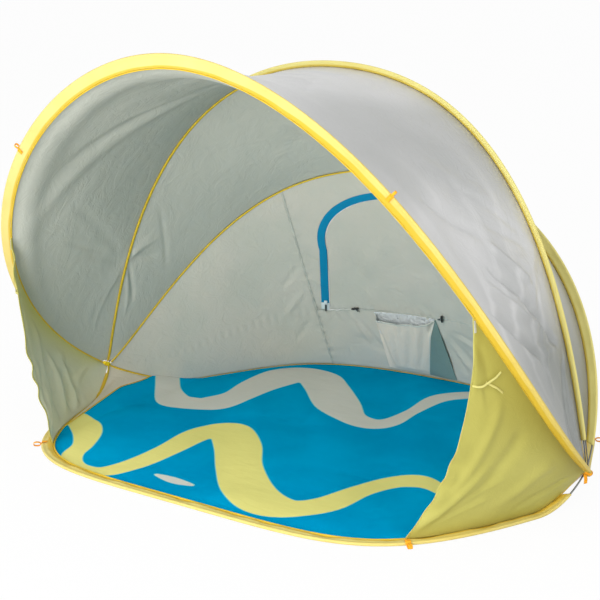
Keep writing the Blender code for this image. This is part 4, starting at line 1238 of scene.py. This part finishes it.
def gusset_surface(side):
    """Side gusset from the crossing down to its seam with the groundsheet, which bows up towards the hoop."""
    fore = pick_line(floor_front.seam(side_share(np.linspace(panel_share, floor_corner_share, 120), side),
                                      seam_gap, -layer_gap))
    aft = pick_line(floor_back.seam(side_share(np.linspace(panel_share, back_corner_share, 120), side),
                                    seam_gap))

    def surface(u, v):
        reach = u * (gusset_reach + (1 - gusset_reach) * smooth(v, 0.70, 1.0))
        return fore(reach) * (1 - v)[:, None] + aft(reach) * v[:, None]
    return surface


sheet_corner_share = panel_share + gusset_reach * (floor_corner_share - panel_share)
front_share = np.linspace(sheet_corner_share, 1 - sheet_corner_share, 400)
back_share = np.linspace(back_corner_share, 1 - back_corner_share, 400)
sheet_front = pick_line(even_line(floor_front.seam(front_share, seam_gap)))
sheet_back = pick_line(even_line(floor_back.seam(back_share, seam_gap)))
ground = -fold_line[2] + 0.0006


edge_pull = 0.075
edge_rise = 0.050


def groundsheet(u, v):
    """The groundsheet lies flat, and its back and side edges rise to the seams that they are sewn to."""
    place = sheet_front(u) * (1 - v)[:, None] + sheet_back(u) * v[:, None]
    sides = [(gusset_surface(-1), sheet_front(np.ones(1)), sheet_back(np.ones(1)), 1 - u),
             (gusset_surface(1), sheet_front(np.zeros(1)), sheet_back(np.zeros(1)), u)]
    height = np.zeros(len(u))
    moved = np.zeros((len(u), 3))
    for edge_surface, front_end, back_end, inwards in sides:
        edge = edge_surface(np.ones(len(v)), v)
        straight = front_end * (1 - v)[:, None] + back_end * v[:, None]
        moved += (edge - straight) * bump(inwards, 0, edge_pull)[:, None]
        height = np.maximum(height, (edge[:, 2] - ground) * bump(inwards, 0, edge_rise))
    place = place + moved
    x, y = place[:, 0], place[:, 1]
    height = np.maximum(height, (sheet_back(u)[:, 2] - ground) * v ** 12)
    height = np.maximum(height, (sheet_front(u)[:, 2] - ground) * (1 - v) ** 12)
    rise = 0.0022 * np.sin(x / 0.11 + 1.1 * np.sin(y / 0.16)) * np.sin(y / 0.09 + x / 0.21)
    rise = rise + 0.0016 * np.sin((x + y * 0.4) / 0.041 + 2 * np.sin(y / 0.2))
    inner = within(v, 0.08, 0.92) * within(u, 0.04, 0.96)
    place[:, 2] = ground + np.maximum(height, (0.0022 + rise).clip(0.0002) * inner) + 0.0002
    return place


wave_steps = 6


def wave_band(points):
    """A smooth band through (x, y, half width) points on the ground, from millimetres."""
    return wave_line(np.array(points) / 1000, wave_steps)


def distance_to(bands):
    """How far each point on the ground lies outside the nearest of some bands."""
    def values(u, v, places):
        here = places[:, :2] + fold_line[:2]
        nearest = np.full(len(here), 9.0)
        for band in bands:
            for near, far in zip(band, band[1:]):
                way = far[:2] - near[:2]
                t = np.clip(((here - near[:2]) @ way) / max(way @ way, 1e-12), 0, 1)
                off = np.linalg.norm(here - near[:2] - t[:, None] * way, axis=1)
                nearest = np.minimum(nearest, off - (near[2] + (far[2] - near[2]) * t))
        return nearest
    return values


yellow_waves = [wave_band([
    (-641, -316, 33), (-584, -329, 41), (-521, -380, 37), (-468, -452, 27), (-443, -515, 27),
    (-401, -560, 25), (-350, -576, 22), (-296, -564, 30), (-268, -487, 35), (-267, -355, 35),
    (-283, -228, 40), (-272, -160, 46), (-240, -139, 56), (-143, -226, 60), (-48, -341, 57), (64, -450, 63),
    (155, -500, 64), (225, -490, 52), (270, -424, 44), (284, -301, 31), (312, -209, 34), (355, -171, 39),
    (406, -174, 28), (473, -200, 23), (570, -215, 26), (680, -200, 28)])]
grey_waves = [wave_band([
    (-746, 260, 28), (-692, 147, 32), (-614, 50, 35), (-536, -18, 48), (-487, -20, 50), (-442, 0, 50),
    (-421, 37, 56), (-413, 120, 48), (-426, 234, 59), (-420, 348, 69), (-397, 398, 62), (-336, 395, 64),
    (-258, 330, 62), (-144, 220, 63), (-51, 146, 44), (22, 128, 42), (60, 174, 30), (58, 289, 19),
    (55, 425, 29), (107, 505, 29), (156, 556, 27)]), wave_band([
    (-172, -506, 6), (-135, -506, 15), (-100, -508, 15), (-62, -506, 6)])]
floor_cloth = laid("groundsheet_cloth", 200, 160, groundsheet, floor_paint, outward=inside_point,
                   marks={"yellow_wave": distance_to(yellow_waves), "grey_wave": distance_to(grey_waves)})
if floor_cloth.data.polygons[0].normal.z < 0:
    floor_cloth.data.flip_normals()
bend_with_floor(floor_cloth)
thicken(floor_cloth)
dress(floor_cloth, None, "groundsheet_fabric", "groundsheet")


# Side gussets and doorway wings
def straight_start(line, shares, until):
    """The same line with a straight cut from its first point to where the sleeve begins."""
    reach = shares <= until
    last = line[reach][-1]
    run = path_length(line[reach])
    line[reach] = line[0] + (last - line[0]) * (run / run[-1])[:, None]
    return line


def wing_surface(side):
    high = even_line(front_arch.seam(side_share(np.linspace(panel_share, wing_top_share, 200), side),
                                     seam_gap, layer_gap))
    shares = np.linspace(panel_share, floor_corner_share, 200)
    low = floor_front.seam(side_share(shares, side), -0.0016, -(sleeve_seam_half + layer_gap * 1.5))
    low = even_line(straight_start(low, shares, 0.052))
    high = pick_line(high)
    low = pick_line(low)
    out = np.array([float(side), 0.0, 0.0])

    def surface(u, v):
        arc = 4 * v * (1 - v)
        reach = u * (1 - 0.06 * arc)
        place = high(reach) * (1 - v)[:, None] + low(reach) * v[:, None]
        return place + out * (0.026 * arc * u)[:, None]
    return surface


def wing_relief(side):
    seed = 30 + side
    foot = fan((1.0, 1.0), -pi * 0.68, 0.85, 0.62, 9, 0.011, 0.0050, seed)
    top = fan((1.0, 0.0), pi * 0.60, 0.5, 0.40, 5, 0.012, 0.0035, seed + 1)
    drop = [((0.35, 0.25), (0.62, 0.85), 0.020, 0.006 * side), ((0.62, 0.2), (0.80, 0.8), 0.018, -0.006),
            ((0.80, 0.15), (0.92, 0.8), 0.014, 0.006), ((0.15, 0.4), (0.5, 0.9), 0.015, -0.004)]
    if side < 0:
        drop += [((0.40, 0.96), (0.36, 0.48), 0.014, 0.0085), ((0.47, 0.97), (0.42, 0.42), 0.012, -0.0080),
                 ((0.54, 0.97), (0.48, 0.52), 0.012, 0.0085), ((0.62, 0.97), (0.55, 0.40), 0.014, -0.0085),
                 ((0.71, 0.97), (0.66, 0.50), 0.014, 0.0075)]
    creases = Creases((0.46, 0.46), foot + top + drop)

    def relief(u, v):
        inner = within(v, 0.08, 0.93) * smooth(u, 0, 0.15)
        hem = 0.0034 * np.sin(v * 31 + 3 * np.sin(v * 9)) * smooth(u, 0.90, 1.0) * within(v, 0.1, 0.9)
        return creases(u, v) * inner + hem
    return relief


def wing_painted_shade(u, v, places):
    """Painted shade on the wing: darker in the shade of the arch sleeve, lightest by the floor, with lighter
    painted streaks across its folds.
    """
    return np.clip(smooth(v, -0.05, 0.55) * 0.8 + 0.25 * v + 0.10 * np.sin(9 * (u - 0.8 * v)), 0, 1)


for side_name, side in (("right", 1), ("left", -1)):
    sheet_piece("side_gusset_cloth_" + side_name, (70, 26), gusset_surface(side), gusset_paint, None,
                "roof_fabric", ["side_gusset_" + side_name],
                shared=("tent_base", "floor_front_hoop", lambda u, v: 1 - v))
    sheet_piece("doorway_wing_cloth_" + side_name, (130, 110), folded(wing_surface(side), wing_relief(side)),
                wing_faces, None, "wing_fabric", ["doorway_wing_" + side_name],
                tone=wing_painted_shade,
                shared=("front_arch_hoop", "floor_front_hoop", lambda u, v: v))


def wing_point(side, u, v, lift=0.0):
    """Places on the wing, lifted outwards, for u across it and v from the arch down to the floor."""
    relief = wing_relief(side)
    shifted = folded(wing_surface(side), lambda a, b: relief(a, b) + lift)
    places = shifted(np.concatenate([u, np.linspace(0, 1, 40)]), np.concatenate([v, np.full(40, 0.5)]))
    return places[:len(u)]


ribbon_knots = {"long": [(1.0, 0.255, 0.002), (0.962, 0.232, 0.008), (0.925, 0.192, 0.009),
                         (0.885, 0.140, 0.010), (0.85, 0.085, 0.010)],
                "short": [(0.925, 0.190, 0.004), (0.89, 0.180, 0.007), (0.855, 0.165, 0.006),
                          (0.815, 0.155, 0.004)]}
wing_bodies = ("front_arch_hoop", "floor_front_hoop")
for side_name, side in (("right", 1), ("left", -1)):
    outwards = (float(side), -0.25, 0.3)
    hem = wing_point(side, np.ones(90), np.linspace(0.0, 1.0, 90))
    strip("wing_hem_" + side_name, hem, *flat_way(hem, outwards), 0.0062, 0.0022, hem_paint, None,
          "wing_fabric", share=lambda along: along, bodies=wing_bodies)
    stitch = wing_point(side, np.full(30, 0.992), np.linspace(0.004, 0.045, 30), 0.0012)
    strip("wing_top_bar_tack_" + side_name, stitch, *flat_way(stitch, outwards), 0.0075, 0.0016, seam_paint,
          None, "wing_fabric", share=lambda along: 0.004 + 0.041 * along, bodies=wing_bodies)
    for tail_name, knots in ribbon_knots.items():
        fine = wave_line(np.array(knots), 9)
        base = wing_point(side, np.clip(fine[:, 0], 0, 1), fine[:, 1])
        line = base + np.array([float(side), 0.0, 0.0]) * fine[:, 2:3]
        top, foot = fine[0, 1], fine[-1, 1]
        strip("wing_ribbon_%s_%s" % (tail_name, side_name), line, *flat_way(line, outwards), 0.0052, 0.0012,
              ribbon_paint, None, "sleeve_fabric", share=lambda along: top + (foot - top) * along,
              bodies=wing_bodies, sides=12)
    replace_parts(bpy.data.objects["wing_ribbon_long_" + side_name], "wing_ribbon_" + side_name)


# Edge of the groundsheet beside each gusset
for side_name, end in (("right", 0.0), ("left", 1.0)):
    edge = groundsheet(np.full(90, end), np.linspace(0.004, 0.996, 90))
    edge[:, 2] += 0.0012
    strip("groundsheet_edge_" + side_name, edge, *flat_way(edge, (0.0, 0.0, 1.0)), 0.0050, 0.0020,
          binding_paint, None, "sleeve_fabric", over_fold=True)


# Webbing: crossing ties, peg loops and guy loops
def wound_tie(name, side, paint):
    """Webbing wound three times round the crossing; its tail is the crossing strap, made apart."""
    half = 0.0128

    def surface(u, v):
        along = (v - 0.5) * 2 * half
        turns = 0.0007 * np.abs(np.sin(3 * pi * v + u * 0.6))
        end = np.sqrt(np.clip(1 - (np.abs(along) / (half + 0.0002)) ** 8, 0, 1))
        radius = (0.0060 + turns) * end + 0.00002
        turn = 2 * pi * u
        x = np.full_like(u, side * tent_width / 2) + along
        return np.column_stack([x, np.cos(turn) * radius, np.sin(turn) * radius])
    obj = laid(name + "_wound", 40, 60, surface, paint, closed=True)
    cap_ends(obj)
    dress(obj, "tent_base", "webbing", name)


for side, side_name, paint in ((1, "right", webbing_paint), (-1, "left", yellow_tie_paint)):
    wound_tie("crossing_tie_" + side_name, side, paint)
for side, side_name, paint in ((1, "right", webbing_paint), (-1, "left", yellow_tie_paint)):
    x = side * tent_width / 2
    line = wave_line(np.array([(x - side * 0.004, -0.0062, 0.004), (x, -0.0100, -0.004),
                               (x + side * 0.002, -0.0110, -0.014), (x + side * 0.001, -0.0095, -0.024)]), 10)
    strip("crossing_strap_" + side_name, line, *flat_way(line, (float(side), -0.6, 0.2)), 0.0095, 0.0016,
          paint, "tent_base", "webbing", sides=14)


def loop_of_webbing(node, out, up, eye_length, eye_height, width, carrier):
    """Folded webbing loop with an open eye; its tab on the sleeve is made by sewn_tab."""
    low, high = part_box(node)
    middle = (np.array(low) + np.array(high)) / 2 - fold_line
    out = unit(np.array(out))
    up = square_to(np.array(up), out)
    across = np.cross(out, up)

    def surface(u, v):
        turn = 2 * pi * v
        x = signed_power(np.cos(turn), 0.80) * (eye_length / 2 + 0.0008)
        z = signed_power(np.sin(turn), 0.80) * (eye_height / 2 + 0.0008)
        ring = np.column_stack([x, z])
        centre = middle + out * ring[:, :1] + up * ring[:, 1:]
        normal = unit(np.column_stack([ring[:, 0] / (eye_length / 2) ** 2,
                                       ring[:, 1] / (eye_height / 2) ** 2]))
        section = 2 * pi * u
        flat = signed_power(np.cos(section), 0.35) * width / 2
        thick = np.sin(section) * 0.00075
        lift = out * normal[:, :1] + up * normal[:, 1:]
        return centre + across * flat[:, None] + lift * thick[:, None]
    obj = laid(node + "_webbing", 16, 64, surface, webbing_paint, closed=True)
    dress(obj, carrier, "webbing", node)


def sewn_tab(name, hoop, share, rise, reach, width, carrier, flip=1.0):
    """Flat end of a loop's webbing, sewn across the sleeve beside the loop."""
    place = hoop.at(share)[0]
    inward = hoop.inward(share)[0]
    fore = hoop.fore(share)[0] * flip
    steps = np.linspace(0, 1, 16)[:, None]
    line = place + inward * (-0.0046 + (reach + 0.0046) * steps)
    line = line + fore * (rise * smooth(steps, 0.0, 0.3) + 0.0008)
    strip(name, line, *flat_way(line, tuple(fore)), width, 0.0014, webbing_paint, carrier, "webbing",
          sides=14)


peg_eye = (0.0160, 0.0080, 0.010)
guy_eye = (0.0100, 0.0080, 0.006)
for side_name, side in (("right", 1), ("left", -1)):
    loop_of_webbing("front_peg_loop_" + side_name, (side * 0.733, -0.680, 0), (0, 0, 1), *peg_eye,
                    "floor_front_hoop")
    loop_of_webbing("back_peg_loop_" + side_name, (side * 0.905, 0.426, 0), (0, 0, 1), *peg_eye, "tent_base")
    share = side_share(guy_share, side)
    loop_of_webbing("guy_loop_" + side_name, tuple(-front_arch.inward(share)[0]),
                    tuple(front_arch.fore(share)[0]), *guy_eye, "front_arch_hoop")
    sewn_tab("guy_tab_" + side_name, front_arch, share, 0.0046, 0.013, 0.010, "front_arch_hoop")
    sewn_tab("front_peg_tab_" + side_name, floor_front, side_share(floor_corner_share, side), 0.0054, 0.012,
             0.013, "floor_front_hoop", -1.0)
    sewn_tab("back_peg_tab_" + side_name, floor_back, side_share(back_peg_share, side), 0.0054, 0.012, 0.013,
             "tent_base")

for node, paint in (("zip_slider", tape_end_paint), ("zip_pull", steel_paint),
                    ("floor_back_ferrule", steel_paint), ("floor_front_ferrule", steel_paint)):
    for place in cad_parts[node].material_slots:
        place.material = paint


# Stage
def area_light(name, place, target, power, size):
    lamp = bpy.data.lights.new(name, "AREA")
    lamp.energy = power
    lamp.shape = "DISK"
    lamp.size = size
    obj = bpy.data.objects.new(name, lamp)
    bpy.context.collection.objects.link(obj)
    obj.location = place
    obj.rotation_euler = (Vector(target) - Vector(place)).to_track_quat("-Z", "Y").to_euler()


def stage():
    bm = bmesh.new()
    bmesh.ops.create_grid(bm, x_segments=1, y_segments=1, size=30.0)
    bmesh.ops.translate(bm, verts=bm.verts, vec=(0, 0, -0.0005))
    paint = Finish("pale_floor", Roughness=0.9)
    paint.feed(paint.shader, {"Base Color": (0.86, 0.86, 0.86, 1.0), "Specular IOR Level": 0.1})
    seen = paint.add("ShaderNodeLightPath", output="Is Camera Ray")
    glossy = paint.add("ShaderNodeLightPath", output="Is Glossy Ray")
    glow = paint.add("ShaderNodeEmission", values={"Color": (1, 1, 1, 1), "Strength": 1.0})
    share = (seen + glossy).math("MINIMUM", 1.0) * 0.95
    mix = paint.add("ShaderNodeMixShader",
                    values={0: share, 1: Signal(paint, paint.shader.outputs[0]), 2: glow})
    paint.links.new(mix.socket, paint.nodes["Material Output"].inputs["Surface"])
    floor = finished("floor", bm, paint.material)


def sky(level):
    """A world that is white to the camera and in mirrors, and lights all else at this level."""
    world = bpy.data.worlds.new("studio")
    bpy.context.scene.world = world
    world.use_nodes = True
    tree = Nodes(world.node_tree)
    tree.nodes.clear()
    lit, white = [tree.add("ShaderNodeBackground", values={"Color": (1, 1, 1, 1), "Strength": strength})
                  for strength in (level, 1.0)]
    camera_ray, glossy_ray, glass_ray = [tree.add("ShaderNodeLightPath", output="Is %s Ray" % kind)
                                         for kind in ("Camera", "Glossy", "Transmission")]
    seen = camera_ray.math("MAXIMUM", glossy_ray).math("MAXIMUM", glass_ray)
    mix = tree.add("ShaderNodeMixShader", values={0: seen, 1: lit, 2: white})
    tree.feed(tree.nodes.new("ShaderNodeOutputWorld"), {"Surface": mix})


def camera():
    data = bpy.data.cameras.new("view")
    data.lens = 96.05
    data.sensor_width = 36.0
    data.sensor_fit = "HORIZONTAL"
    data.clip_end = 100.0
    obj = bpy.data.objects.new("view", data)
    bpy.context.collection.objects.link(obj)
    place = Vector((2.266, -3.264, 1.350))
    target = Vector((0.4278, -0.7419, 0.5758))
    obj.location = place
    turn = (target - place).to_track_quat("-Z", "Y").to_matrix() @ Matrix.Rotation(0.0033, 3, "Z")
    obj.rotation_euler = turn.to_euler()
    bpy.context.scene.camera = obj


stage()
sky(0.66)
area_light("key", (-1.4, -3.2, 3.4), (0, 0, 0.4), 30, 2.2)
area_light("side", (3.6, -1.0, 2.2), (0, 0, 0.4), 28, 2.0)
area_light("front", (0.35, -3.9, 0.85), (0, 0, 0.45), 135, 3.0)
camera()
bpy.context.scene.view_settings.view_transform = "Standard"
